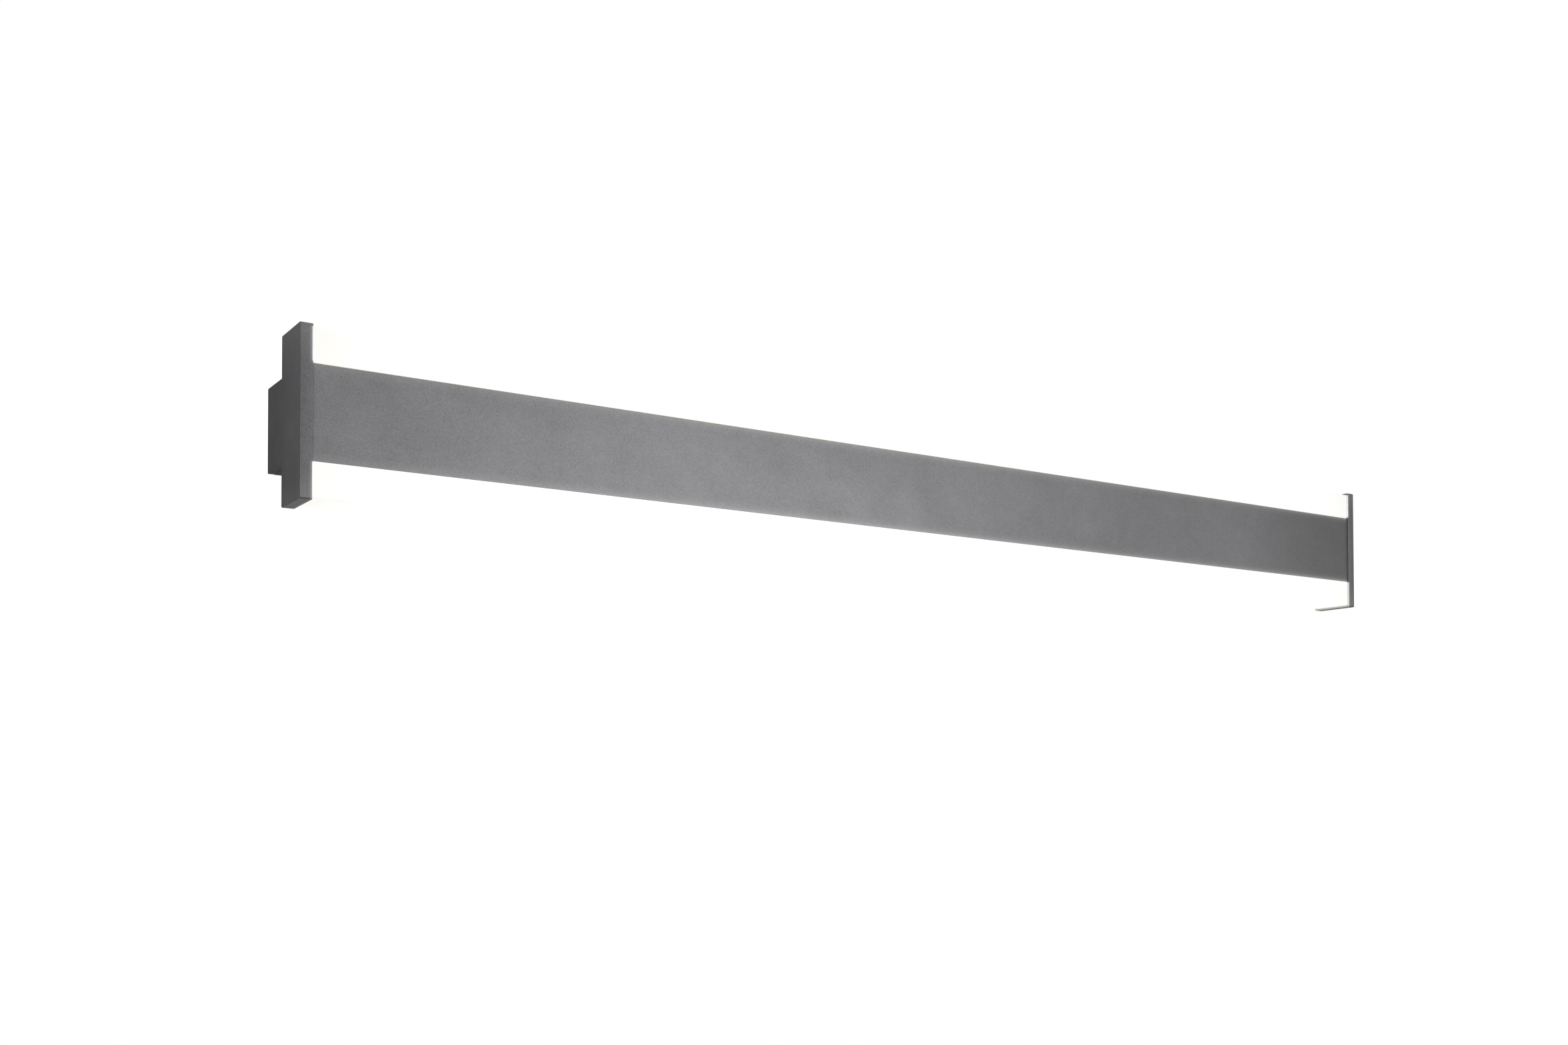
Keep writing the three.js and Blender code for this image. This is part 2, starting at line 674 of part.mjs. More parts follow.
const lever = (x) => {
  const width = around(x, polePitch - cheekThickness - 2 * leverSidePlay);
  const armFace = terminalFace - seatGap;
  const hub = rodAlong(2 * leverHubRadius, hingeOut, leverHingeUp, ...width);
  const arm = block(
    width, [armFace - leverThickness, armFace], [leverHingeUp - leverLength, leverHingeUp]);
  const tip = block(
    width,
    [armFace - leverThickness - leverTipRaise, armFace],
    [leverHingeUp - leverLength, leverHingeUp - leverLength + leverTipLength]);
  return cut(joined(hub, arm, tip), rodAlong(
    pinHole, hingeOut, leverHingeUp, x - polePitch, x + polePitch, screwSides));
};
poleNames.forEach((pole, index) => add(
  `${pole}_lever`, lever(poleX(index)), orangePlastic()));

// Lead bush through the web and the core's back wall
const bushOuter = leadHoleDiameter / 2 - seatGap;
const bushInner = leadHoleDiameter / 2 - seatGap - leadBushWall;
add('lead_bush', turned([
  [bushInner, -coreInnerBack],
  [bushOuter, -coreInnerBack],
  [bushOuter, -webSeat],
  [leadBushFlange / 2, -webSeat],
  [leadBushFlange / 2, leadBushFlangeThickness - webSeat],
  [bushInner, leadBushFlangeThickness - webSeat],
  [bushInner, -coreInnerBack],
], holeSides), blackRubber()).position.set(leadHoleX, 0, 0);

// Earth screw and ring lug
const lugFace = webSeat - lugSheet;
const ring = rodOut(lugRingDiameter, earthScrewX, earthScrewUp, lugFace, webSeat);
const barrelOut = webSeat - lugBarrelDiameter / 2;
const barrelSpan = [
  earthScrewX - lugBarrelOffset - lugBarrelLength, earthScrewX - lugBarrelOffset];
const barrel = rodAlong(lugBarrelDiameter, barrelOut, earthScrewUp, ...barrelSpan, screwSides);
const tongue = block(
  [barrelSpan[0], earthScrewX], [lugFace, webSeat], around(earthScrewUp, lugBarrelDiameter));
add('earth_lug', cut(
  joined(ring, barrel, tongue),
  rodOut(clearanceHole(webScrew), earthScrewX, earthScrewUp,
    lugFace - cutOverrun, webSeat + cutOverrun, screwSides),
  rodAlong(leadDiameter + 2 * screwClearance, barrelOut, earthScrewUp,
    barrelSpan[0] - cutOverrun, barrelSpan[0] + lugBarrelLength / 2, screwSides)), zincSteel());
addScrew('earth_screw', webScrew, earthScrewX, lugFace - seatGap, earthScrewUp);

// Leads, each a tube along a route of [x, out, up] points
const lead = (route, steps) => {
  const path = new THREE.CatmullRomCurve3(
    route.map(([x, out, up]) => new THREE.Vector3(x, -out, up)), false, 'centripetal');
  return new THREE.ExtrudeGeometry(circle(leadDiameter / 2, leadSides), {
    steps, bevelEnabled: false, extrudePath: path });
};
// Points placed by their shares of three spans
const placed = (routeShares, ...spans) => routeShares.map((shares) => (
  spans.map(([from, to], axis) => from + (to - from) * shares[axis])));
const terminalTop = terminalWidth / 2;
const fromTerminal = (x) => [
  [x, leadPortOut, terminalTop - leadInsertion],
  [x, leadPortOut, terminalTop + leadDiameter / 2],
];
const toDriver = (x, routeShares, up) => [
  ...fromTerminal(x),
  ...placed(routeShares,
    [driverEnd + leadStraight, x], [driverPortOut, webSeat], [0, housingInnerHalf]),
  [driverEnd + leadStraight, driverPortOut, up],
  [driverEnd - leadInsertion, driverPortOut, up],
];
const [liveX, neutralX, earthX] = poleXs;
add('live_lead', lead(
  toDriver(liveX, liveRouteShares, driverPortPitch / 2), stemLeadSteps), leadFinish.live());
add('neutral_lead', lead(
  toDriver(neutralX, neutralRouteShares, -driverPortPitch / 2), stemLeadSteps),
leadFinish.neutral());
const [lugEnd] = barrelSpan;
add('earth_lead', lead([
  ...fromTerminal(earthX),
  ...placed(earthRouteShares,
    [earthX, lugEnd - 2 * leadStraight], [leadPortOut, webSeat], [0, housingInnerHalf]),
  [lugEnd - 2 * leadStraight, barrelOut, earthScrewUp + leadDiameter / 4],
  [lugEnd - leadStraight, barrelOut, earthScrewUp],
  [lugEnd + lugBarrelLength / 2 - leadDiameter / 2, barrelOut, earthScrewUp],
], earthLeadSteps), leadFinish.earth());
const leadOnBoard = boardBottom + boardThickness + seatGap + leadDiameter / 2;
const boardLeadEnd = boardLeadReach - boardHalf;
levels.forEach(([level, upSign]) => add(`board_lead_${level}`, lead([
  [driverStart + leadInsertion, driverPortOut, driverPortPitch / 2],
  [driverStart - leadStraight, driverPortOut, driverPortPitch / 2],
  ...placed(bushRouteShares, [leadHoleX, driverStart - leadStraight],
    [driverPortOut, webSeat], [leadPairPitch / 2, driverPortPitch / 2]),
  [leadHoleX, webSeat, leadPairPitch / 2],
  [leadHoleX, coreInnerBack + leadStraight, leadPairPitch / 2],
  ...placed(coreRouteShares, [boardLeadHoleX, leadHoleX],
    [coreInnerBack, boardCentre], [leadPairPitch / 2, coreInnerHalf - leadStraight]),
  [boardLeadHoleX, boardCentre, coreInnerHalf - leadStraight],
  [boardLeadHoleX, boardCentre, coreHalf + leadStraight],
  ...placed(archRouteShares, [boardLeadHoleX, boardLeadEnd],
    [boardCentre, boardCentre], [leadOnBoard, leadOnBoard + boardLeadArch]),
  [boardLeadEnd, boardCentre, leadOnBoard],
].map(([x, out, up]) => [x, out, upSign * up]), boardLeadSteps), leadFinish.board()));

export default light;
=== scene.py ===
"""A lit linear wall light: opal diffusers above and below a dark band, between two T-shaped end plates.

Metres. X runs along the light, -Y points out of the wall and +Z is up.
Sections are drawn as (out, up): the distance out of the wall, and the height.
"""

import itertools
import math

import bmesh
import bpy
from mathutils import Matrix, Vector


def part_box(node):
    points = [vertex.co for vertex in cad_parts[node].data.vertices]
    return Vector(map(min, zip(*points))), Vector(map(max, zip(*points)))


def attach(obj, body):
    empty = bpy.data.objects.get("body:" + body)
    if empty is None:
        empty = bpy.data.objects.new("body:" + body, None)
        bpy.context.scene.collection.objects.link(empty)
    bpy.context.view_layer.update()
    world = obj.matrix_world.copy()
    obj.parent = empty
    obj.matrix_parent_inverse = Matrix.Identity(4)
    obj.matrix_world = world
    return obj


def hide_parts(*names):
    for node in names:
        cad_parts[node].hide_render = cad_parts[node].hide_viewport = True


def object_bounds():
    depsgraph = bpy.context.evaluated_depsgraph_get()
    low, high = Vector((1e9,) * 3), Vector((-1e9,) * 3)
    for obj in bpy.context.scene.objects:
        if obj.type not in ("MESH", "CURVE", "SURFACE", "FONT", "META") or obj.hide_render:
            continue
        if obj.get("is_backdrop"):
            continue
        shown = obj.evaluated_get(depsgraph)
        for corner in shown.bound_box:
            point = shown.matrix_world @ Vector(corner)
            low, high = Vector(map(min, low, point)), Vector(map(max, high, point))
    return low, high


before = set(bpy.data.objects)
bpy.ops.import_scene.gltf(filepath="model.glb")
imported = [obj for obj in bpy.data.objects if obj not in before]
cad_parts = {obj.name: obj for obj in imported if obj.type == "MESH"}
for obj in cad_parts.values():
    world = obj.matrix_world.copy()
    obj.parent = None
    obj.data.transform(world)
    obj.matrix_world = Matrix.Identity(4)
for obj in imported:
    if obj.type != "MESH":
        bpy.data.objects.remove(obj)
cad_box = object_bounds()

MM = 0.001
SIDES = (("left", -1), ("right", 1))
LEVELS = (("upper", 1), ("lower", -1))
POLES = ("live", "neutral", "earth")


def extent(node):
    """(least x, most x), (least out, most out), (least up, most up) of a CAD node."""
    low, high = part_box(node)
    return (low.x, high.x), (-high.y, -low.y), (low.z, high.z)


def centre(node):
    """(x, out, up) of the middle of a CAD node."""
    return tuple((low + high) / 2 for low, high in extent(node))


def spot(node):
    """(x, up) of the middle of a CAD node."""
    x, _, up = centre(node)
    return x, up


def around(middle, width):
    """The two ends of a width about its middle."""
    return (middle - width / 2, middle + width / 2)


# Sizes taken from the frame
(PLATE_LUG_END, HALF_LENGTH), (WALL_GAP, DEPTH), (_, HALF_HEIGHT) = extent("end_plate_right")
(_, HOUSING_END), (_, HOUSING_FRONT), (_, STEM_HALF) = extent("rear_housing")
(_, PROFILE_END), (CORE_BACK, CORE_FRONT), (_, BAND_HALF) = extent("core_profile")
(_, BAND_FRONT) = extent("front_band")[1]
(DIFFUSER_BACK, _), (DIFFUSER_FOOT, DIFFUSER_TOP) = extent("diffuser_upper")[1:]
(_, WALL_PLATE_END), (_, WALL_PLATE_FLANGE), (_, WALL_PLATE_HALF) = extent("wall_plate")
(_, BOARD_END), (BOARD_BACK, BOARD_FRONT), (BOARD_BOTTOM, CHIP_TOP) = extent("light_board_upper")
PIN_X, (PIN_BACK, PIN_FRONT), _ = extent("lever_pin")
_, PIN_OUT, PIN_UP = centre("lever_pin")
PIN = PIN_FRONT - PIN_BACK

# Sizes of the sections
SEAT_GAP = 0.3 * MM
PLATE_THICKNESS = HALF_LENGTH - PROFILE_END - SEAT_GAP
PLATE_STEM_THICKNESS = HALF_LENGTH - HOUSING_END - SEAT_GAP
LUG_THICKNESS = 8 * MM
LUG_WIDTH = 12 * MM
HOUSING_WALL = 2.5 * MM
THREAD_RIB_WIDTH = 8 * MM
THREAD_RIB_RAISE = 1.5 * MM
CORE_WALL = 2 * MM
CORE_FIN = 1.5 * MM
BAND_OVERLAP = 4 * MM
BAND_THICKNESS = 2.2 * MM
LEG_THICKNESS = 1.5 * MM
BARB_LENGTH = 1.8 * MM
BARB_RISE = 1.8 * MM
HOOK_THICKNESS = 1.5 * MM
HOOK_DROP = 3 * MM
CLIP_POCKET = 5.6 * MM
RAIL_THICKNESS = 1.5 * MM
RAIL_OVERHANG = 1.5 * MM
RAIL_LIP = 1.4 * MM
DIFFUSER_WALL = 2 * MM
DIFFUSER_CORNER = 1.5 * MM
BOARD_THICKNESS = 1.5 * MM
WALL_PLATE_STEEL = 1.5 * MM
WALL_PLATE_BEND = 2 * MM

# Sizes of holes, and of what passes through them
SLOT_LENGTH = 14 * MM
SLOT_WIDTH = 5.5 * MM
SLOT_SPACING_SHARES = (0.8, 0.3)
CABLE_HOLE = 20 * MM
GROMMET_BORE = 9 * MM
GROMMET_FLANGE_THICKNESS = 1.6 * MM
GROMMET_NOZZLE = 14 * MM
GROMMET_RIDGES = 3
GROMMET_RIDGE = 0.5 * MM
LEAD_HOLE = 9.6 * MM
BOARD_LEAD_HOLE = 4.6 * MM
BOARD_LEAD_HOLE_INSET = 13 * MM
BUSH_WALL = 1.3 * MM
BUSH_FLANGE_THICKNESS = 1.2 * MM
SCREW_CLEARANCE = 0.3 * MM
LARGE_SHANK, LARGE_HEAD_HEIGHT = 4 * MM, 2.4 * MM
SMALL_SHANK, SMALL_HEAD_HEIGHT = 3 * MM, 1.8 * MM
GRUB_SHANK = 4 * MM
LARGE_HOLE = LARGE_SHANK + 2 * SCREW_CLEARANCE
SMALL_HOLE = SMALL_SHANK + 2 * SCREW_CLEARANCE
GRUB_HOLE = GRUB_SHANK + 2 * SCREW_CLEARANCE
SOCKET_SHARE = 0.42
SOCKET_DEPTH_SHARE = 0.6
PITCH_SHARE = 0.25
THREAD_DEPTH_SHARE = 0.1
TIP_SHARE = 0.25
RINGS_PER_PITCH = 4
PORT = 3.2 * MM
PORT_DEPTH = 7 * MM

# Sizes of the parts inside
CHIP_LENGTH = 3.5 * MM
CHIP_WIDTH = 2.8 * MM
CHIP_PITCH = 24 * MM
CHIP_END_MARGIN = 40 * MM
PAD_REACH = 0.8 * MM
PAD_HEIGHT = 0.05 * MM
DRIVER_LUG = 10 * MM
DRIVER_LUG_THICKNESS = 2 * MM
DRIVER_CORNER = 1.5 * MM
DRIVER_PORT_PITCH = 10 * MM
DRIVER_LID = 3 * MM
DRIVER_SEAM = 0.6 * MM
DRIVER_GROOVES = 7
DRIVER_GROOVE = 2 * MM
DRIVER_GROOVE_PITCH = 5 * MM
DRIVER_GROOVE_REACH = 10 * MM
TERMINAL_HEIGHT = 9 * MM
TERMINAL_LUG_WIDTH = 10 * MM
TERMINAL_LUG_THICKNESS = 2.5 * MM
TERMINAL_PORT_INSET = 4 * MM
CHEEK = 1.2 * MM
CHEEK_WIDTH = 6 * MM
LEVER_THICKNESS = 2 * MM
LEVER_TIP = 2 * MM
LEVER_GROOVE = 0.3 * MM

# How far the painted light and shade on the coat, and the dimming at the diffusers' ends, reach
SPILL_REACH = 7 * MM
RIM_REACH = 3 * MM
HALO_REACH = 3 * MM
BAND_DIM_REACH = 120 * MM
BAND_SHADE_REACH = 165 * MM
GLOW_FADE_REACH = 55 * MM

# How deep and how strong the fine relief of each finish is
COAT_RELIEF = 0.03 * MM
FINE_RELIEF = 0.01 * MM
MOULDED_RELIEF = 0.02 * MM
RUBBER_RELIEF = 0.04 * MM
RELIEF_STRENGTH = 0.5

# How far edges are rounded and cuts overrun, and how finely shapes are made
PLATE_CORNER = 1.2 * MM
PLATE_EDGE = 0.85 * MM
BAND_EDGE = 0.5 * MM
HOUSING_EDGE = 0.35 * MM
SMALL_EDGE = 0.2 * MM
CUT_OVERRUN = 1 * MM
SHARP_ANGLE = math.radians(35)
FLAT_ANGLE = math.radians(1)
LEVEL_DIGITS = 7
ARC_STEPS = 6
HOLE_SIDES = 32
SCREW_SIDES = 24

# Places that follow from these sizes
BAND_END = PROFILE_END + SEAT_GAP / 2
CORE_HALF = BAND_HALF - BAND_OVERLAP
CORE_INNER_HALF = CORE_HALF - CORE_WALL
CORE_FRONT_WALL = CORE_FRONT - CLIP_POCKET
HOOK_BOTTOM = CORE_INNER_HALF - HOOK_DROP
HOUSING_INNER_HALF = STEM_HALF - HOUSING_WALL
WEB_BACK = HOUSING_FRONT - HOUSING_WALL
WEB_SEAT = WEB_BACK - SEAT_GAP
RAIL_LIP_UNDER = CORE_HALF + SEAT_GAP + BOARD_THICKNESS + SEAT_GAP
BACK_RAIL = DIFFUSER_BACK + DIFFUSER_WALL + SEAT_GAP + RAIL_OVERHANG
FRONT_RAIL = CORE_FRONT - DIFFUSER_WALL - SEAT_GAP - RAIL_OVERHANG - RAIL_THICKNESS
BOARD_CENTRE = (BOARD_BACK + BOARD_FRONT) / 2
TERMINAL_FACE = WEB_SEAT - TERMINAL_HEIGHT

# Where the fasteners pass, as (x, up)
PLATE_SCREWS = {
    side: [spot(f"end_plate_screw_{side}_{level}") for level, _ in LEVELS] for side, _ in SIDES
}
CHASSIS_SCREWS = [spot(f"chassis_screw_{index}") for index in range(1, 5)]
DRIVER_SCREWS = [spot(f"driver_screw_{index}") for index in (1, 2)]
TERMINAL_SCREWS = [spot(f"terminal_screw_{index}") for index in (1, 2)]
CORE_SCREWS = [*PLATE_SCREWS["left"], *PLATE_SCREWS["right"], *CHASSIS_SCREWS]
WEB_SCREWS = [*DRIVER_SCREWS, *TERMINAL_SCREWS, spot("earth_screw")]


# Node trees

# The range that most of a noise texture's values fill
NOISE_LOW, NOISE_HIGH = 0.3, 0.7


class Look:
    """A material and short ways to add nodes to it."""

    def __init__(self, name):
        self.material = bpy.data.materials.new(name)
        self.material.use_nodes = True
        self.tree = self.material.node_tree
        self.tree.nodes.clear()
        self.output = self.tree.nodes.new("ShaderNodeOutputMaterial")
        places = self.tree.nodes.new("ShaderNodeTexCoord")
        self.coordinates = places.outputs["Object"]
        self.facing = self.node("SeparateXYZ", {"Vector": places.outputs["Normal"]}).outputs
        self.place = self.node("SeparateXYZ", {"Vector": self.coordinates}).outputs

    def node(self, kind, inputs=None, **settings):
        """Adds a node of a kind, with values or sockets for its inputs."""
        made = self.tree.nodes.new("ShaderNode" + kind)
        for key, value in settings.items():
            setattr(made, key, value)
        for key, value in (inputs or {}).items():
            self.feed(made.inputs[key], value)
        return made

    def feed(self, socket, value):
        """Links a socket to another, or sets its value."""
        if isinstance(value, bpy.types.NodeSocket):
            self.tree.links.new(value, socket)
        else:
            socket.default_value = value

    def math(self, operation, *values):
        made = self.node("Math", operation=operation)
        for socket, value in zip(made.inputs, values):
            self.feed(socket, value)
        return made.outputs[0]

    def distance_from_middle(self, axis):
        return self.math("ABSOLUTE", self.place[axis])

    def noise(self, per_metre, detail=2, roughness=0.5, stretch=(1, 1, 1)):
        """Noise with so many waves a metre, each axis multiplied by its stretch."""
        vector = self.coordinates
        if stretch != (1, 1, 1):
            vector = self.node("Mapping", {"Vector": vector, "Scale": stretch}).outputs[0]
        return self.node("TexNoise", {
            "Vector": vector,
            "Scale": per_metre,
            "Detail": detail,
            "Roughness": roughness,
        }).outputs["Fac"]

    def remap(self, value, low, high, to_low=0.0, to_high=1.0, smooth=False):
        """Takes low to to_low and high to to_high, and holds the value at these ends."""
        made = self.node("MapRange", {
            "Value": value, "From Min": low, "From Max": high, "To Min": to_low, "To Max": to_high})
        made.interpolation_type = "SMOOTHSTEP" if smooth else "LINEAR"
        return made.outputs[0]

    def spread(self, noise, to_low=0.0, to_high=1.0):
        """Noise stretched over a whole range."""
        return self.remap(noise, NOISE_LOW, NOISE_HIGH, to_low, to_high)

    def total(self, *values):
        whole = values[0]
        for value in values[1:]:
            whole = self.math("ADD", whole, value)
        return whole

    def blend(self, share, first, second):
        """The first colour at a share of 0, and the second at 1."""
        made = self.node("Mix", data_type="RGBA")
        self.feed(made.inputs["Factor"], share)
        for name, value in (("A", first), ("B", second)):
            socket = next(place for place in made.inputs if place.name == name and place.type == "RGBA")
            self.feed(socket, value)
        return next(place for place in made.outputs if place.type == "RGBA")

    def bump(self, height, distance):
        relief = {"Height": height, "Distance": distance, "Strength": RELIEF_STRENGTH}
        return self.node("Bump", relief).outputs[0]

    def surface(self, **inputs):
        """Ends the tree in a Principled shader. Words in an input's name are joined by _."""
        shader = self.node("BsdfPrincipled")
        for key, value in inputs.items():
            self.feed(shader.inputs[key.replace("_", " ")], value)
        self.tree.links.new(shader.outputs[0], self.output.inputs["Surface"])
        return self.material


def colour(red, green, blue):
    """A colour in linear light, with no transparency."""
    return (red, green, blue, 1)


# Materials

# The coat's two tones, the colour of its painted shade, and its colours in painted light from the
# diffusers
COAT_DARK = colour(0.066, 0.066, 0.069)
COAT_PALE = colour(0.164, 0.164, 0.17)
COAT_PAINTED_SHADE = colour(0.01, 0.01, 0.0105)
COAT_SPILL = colour(0.3, 0.297, 0.29)
COAT_GLINT = colour(0.45, 0.31, 0.12)


def coat_tone(look):
    """Fine grain under a millimetre wide, over flecks and broad, faint blotches."""
    return look.total(
        look.spread(look.noise(1750, detail=2, roughness=0.75), 0, 0.61),
        look.spread(look.noise(170, detail=3, roughness=0.6), 0, 0.07),
        look.spread(look.noise(32, detail=4, roughness=0.6), 0, 0.16),
        look.spread(look.noise(9), 0, 0.12),
    )


def front_edge(look, sign):
    """1 on the rounded edge between a front face and the face above it (sign 1) or below it (-1)."""
    # Twice the product of the two directions is 1 on a slope of 45 degrees
    slant = look.math("MULTIPLY", look.facing["Y"], look.facing["Z"])
    return look.remap(look.math("MULTIPLY", slant, -2 * sign), 0.35, 0.95)


def coat_surface(look, base, level, roughness):
    """A coat of one colour or another, with faint patches of gloss and a fine relief."""
    patches = look.noise(60, detail=3)
    return look.surface(
        Base_Color=base,
        Roughness=look.spread(patches, roughness - 0.04, roughness + 0.04),
        Specular_IOR_Level=level,
        Normal=look.bump(look.noise(900), COAT_RELIEF),
    )


def coat_paint(look, painted_shade):
    """The coat's speckled colour, darkened by a share of painted shade, and by more painted shade on
    faces that turn downwards.
    """
    paint = look.blend(coat_tone(look), COAT_DARK, COAT_PALE)
    # Painted shade on faces that turn downwards
    painted_underside_shade = look.remap(look.facing["Z"], -0.5, -1, 0, 0.34)
    return look.blend(look.total(painted_underside_shade, painted_shade), paint, COAT_PAINTED_SHADE)


def with_spill(look, base, start, end, share):
    """Paler from one height to another, where the diffusers' light spills over the coat."""
    spilt = look.remap(look.distance_from_middle("Z"), start, end, 0, share, smooth=True)
    return look.blend(spilt, base, COAT_SPILL)


def band_coat():
    """Satin powder coat, with painted shade towards the band's right end, painted light from the
    diffusers at its rims, and a painted ochre glint on its top edge.
    """
    look = Look("powder_coat_band")
    x = look.place["X"]
    # Painted shade: a little over the band's right half, and more towards its right end
    broad = look.remap(x, -BAND_DIM_REACH, 0, 0, 0.06, smooth=True)
    end = look.remap(x, PROFILE_END - BAND_SHADE_REACH, PROFILE_END, 0, 0.43, smooth=True)
    base = coat_paint(look, look.total(broad, end))
    # Painted light from the diffusers along the band's top and bottom rims
    base = with_spill(look, base, BAND_HALF - SPILL_REACH, BAND_HALF, 0.12)
    rim_painted_light = look.remap(x, -PROFILE_END, PROFILE_END, 0.02, 0.34)
    base = with_spill(look, base, BAND_HALF - RIM_REACH, BAND_HALF, rim_painted_light)
    glint = look.math("MULTIPLY", front_edge(look, 1), 0.85)
    return coat_surface(look, look.blend(glint, base, COAT_GLINT), 0.32, 0.5)


def housing_coat():
    """Matt powder coat, darkened evenly by painted shade to be as dark as the plates' stems."""
    look = Look("powder_coat_housing")
    # The share 0.24 is an even painted shade over the whole housing
    return coat_surface(look, coat_paint(look, 0.24), 0.03, 0.6)


def plate_coat():
    """Matt coat, with painted shade towards the wall, outwards on its front and on its low edge, and
    painted light beside a diffuser.
    """
    look = Look("powder_coat_plates")
    out = look.math("MULTIPLY", look.place["Y"], -1)
    # Painted shade towards the wall
    wall_painted_shade = look.remap(out, CORE_BACK / 2, DEPTH, 0.34, 0.02, smooth=True)
    x = look.distance_from_middle("X")
    # Painted shade on the front face, growing towards the plate's outer side
    outwards = look.remap(x, HALF_LENGTH - PLATE_THICKNESS, HALF_LENGTH, 0, 0.2)
    in_front = look.math("MULTIPLY", look.facing["Y"], -1)
    across = look.math("MAXIMUM", look.math("MULTIPLY", outwards, in_front), 0)
    # The low front edge also takes painted shade
    base = coat_paint(look, look.total(wall_painted_shade, across, front_edge(look, -1)))
    base = with_spill(look, base, BAND_HALF, HALF_HEIGHT, 0.14)
    return coat_surface(look, look.blend(lit_inner_face(look), base, inner_glow(look)), 0.05, 0.65)


def inner_glow(look):
    """The colour of a plate's inner face in the diffusers' light, warmer past the lower diffuser."""
    above = look.remap(look.place["Z"], -BAND_HALF, BAND_HALF)
    beside = look.blend(above, colour(0.7, 0.7, 0.72), colour(0.82, 0.82, 0.84))
    past = look.remap(look.place["Z"], -DIFFUSER_TOP, -DIFFUSER_TOP - PLATE_EDGE)
    return look.blend(past, beside, colour(0.47, 0.425, 0.38))


def lit_inner_face(look):
    """1 on a plate's inner face beside a diffuser, fading over its rounded edge and at its top."""
    inner_face = HALF_LENGTH - PLATE_THICKNESS
    x = look.distance_from_middle("X")
    inside = look.remap(x, inner_face, inner_face + PLATE_EDGE, 0.72, 0, smooth=True)
    halo = look.math("POWER", look.remap(x, inner_face, inner_face + HALO_REACH, 1, 0), 2)
    lit = look.total(inside, look.math("MULTIPLY", halo, 0.28))
    up = look.distance_from_middle("Z")
    beside = look.remap(up, BAND_HALF - SEAT_GAP, BAND_HALF + DIFFUSER_WALL, smooth=True)
    under_top = look.remap(look.place["Z"], DIFFUSER_TOP - PLATE_EDGE, DIFFUSER_TOP, 1, 0.1)
    return look.math("MULTIPLY", look.math("MULTIPLY", lit, beside), under_top)


def lit_opal():
    """Satin opal plastic, lit from inside: dimmer and warmer near the ends, and dimmer off the front."""
    look = Look("lit_opal")
    x = look.distance_from_middle("X")
    end = look.remap(x, PROFILE_END - GLOW_FADE_REACH, PROFILE_END, smooth=True)
    front = look.remap(look.math("MULTIPLY", look.facing["Y"], -1), 0, 1, 0.93, 1)
    clouds = look.spread(look.noise(14), 0.985, 1)
    even = look.math("MULTIPLY", clouds, front)
    strength = look.math("MULTIPLY", even, look.remap(end, 0, 1, 0.86, 0.8))
    return look.surface(
        Base_Color=colour(0.14, 0.139, 0.136),
        Roughness=look.spread(look.noise(60, detail=3), 0.42, 0.5),
        Specular_IOR_Level=0.3,
        Emission_Color=look.blend(end, colour(1, 0.997, 0.99), colour(0.985, 0.975, 0.93)),
        Emission_Strength=strength,
        Normal=look.bump(look.noise(2600), FINE_RELIEF),
    )


def drawn_aluminium():
    """Extruded metal, with fine lines along X."""
    look = Look("drawn_aluminium")
    lines = look.noise(1, detail=3, roughness=0.65, stretch=(4, 2500, 2500))
    tone = look.total(look.spread(lines, 0, 0.6), look.spread(look.noise(18, detail=3), 0, 0.4))
    return look.surface(
        Base_Color=look.blend(tone, colour(0.5, 0.51, 0.52), colour(0.68, 0.69, 0.7)),
        Metallic=1.0,
        Roughness=look.spread(lines, 0.32, 0.46),
        Normal=look.bump(lines, FINE_RELIEF),
    )


def zinc_plating():
    """Zinc plated steel: soft crystal patches under a fine rolled grain."""
    look = Look("zinc_plating")
    crystals = look.node("TexVoronoi", {"Vector": look.coordinates, "Scale": 150.0})
    patch = look.node("SeparateColor", {"Color": crystals.outputs["Color"]}).outputs["Red"]
    tone = look.total(look.math("MULTIPLY", patch, 0.4), look.spread(look.noise(25, detail=4), 0, 0.6))
    rolled = look.noise(1, stretch=(30, 3000, 3000))
    return look.surface(
        Base_Color=look.blend(tone, colour(0.4, 0.41, 0.43), colour(0.58, 0.59, 0.6)),
        Metallic=1.0,
        Roughness=look.remap(tone, 0, 1, 0.48, 0.36),
        Normal=look.bump(rolled, FINE_RELIEF),
    )


def moulded(name, red, green, blue, roughness, pits=2200, depth=MOULDED_RELIEF, level=0.4):
    """Moulded plastic or rubber with fine pits, so many a metre."""
    look = Look(name)
    dark = colour(red * 0.86, green * 0.86, blue * 0.86)
    surface = look.noise(pits, roughness=0.6)
    return look.surface(
        Base_Color=look.blend(look.spread(look.noise(70, detail=3)), dark, colour(red, green, blue)),
        Roughness=look.spread(surface, roughness - 0.06, roughness + 0.06),
        Specular_IOR_Level=level,
        Normal=look.bump(surface, depth),
    )


def striped_insulation():
    """Green and yellow insulation, in slanting stripes with a soft edge."""
    look = Look("earth_insulation")
    stripes = {"Vector": look.coordinates, "Scale": 55.0, "Distortion": 1.5, "Detail": 1.0}
    wave = look.node("TexWave", stripes, bands_direction="DIAGONAL")
    edge = look.remap(wave.outputs["Fac"], 0.45, 0.55)
    return look.surface(
        Base_Color=look.blend(edge, colour(0.05, 0.24, 0.04), colour(0.7, 0.6, 0.03)),
        Roughness=look.spread(look.noise(900), 0.42, 0.52),
        Specular_IOR_Level=0.4,
        Normal=look.bump(look.noise(1600), FINE_RELIEF),
    )


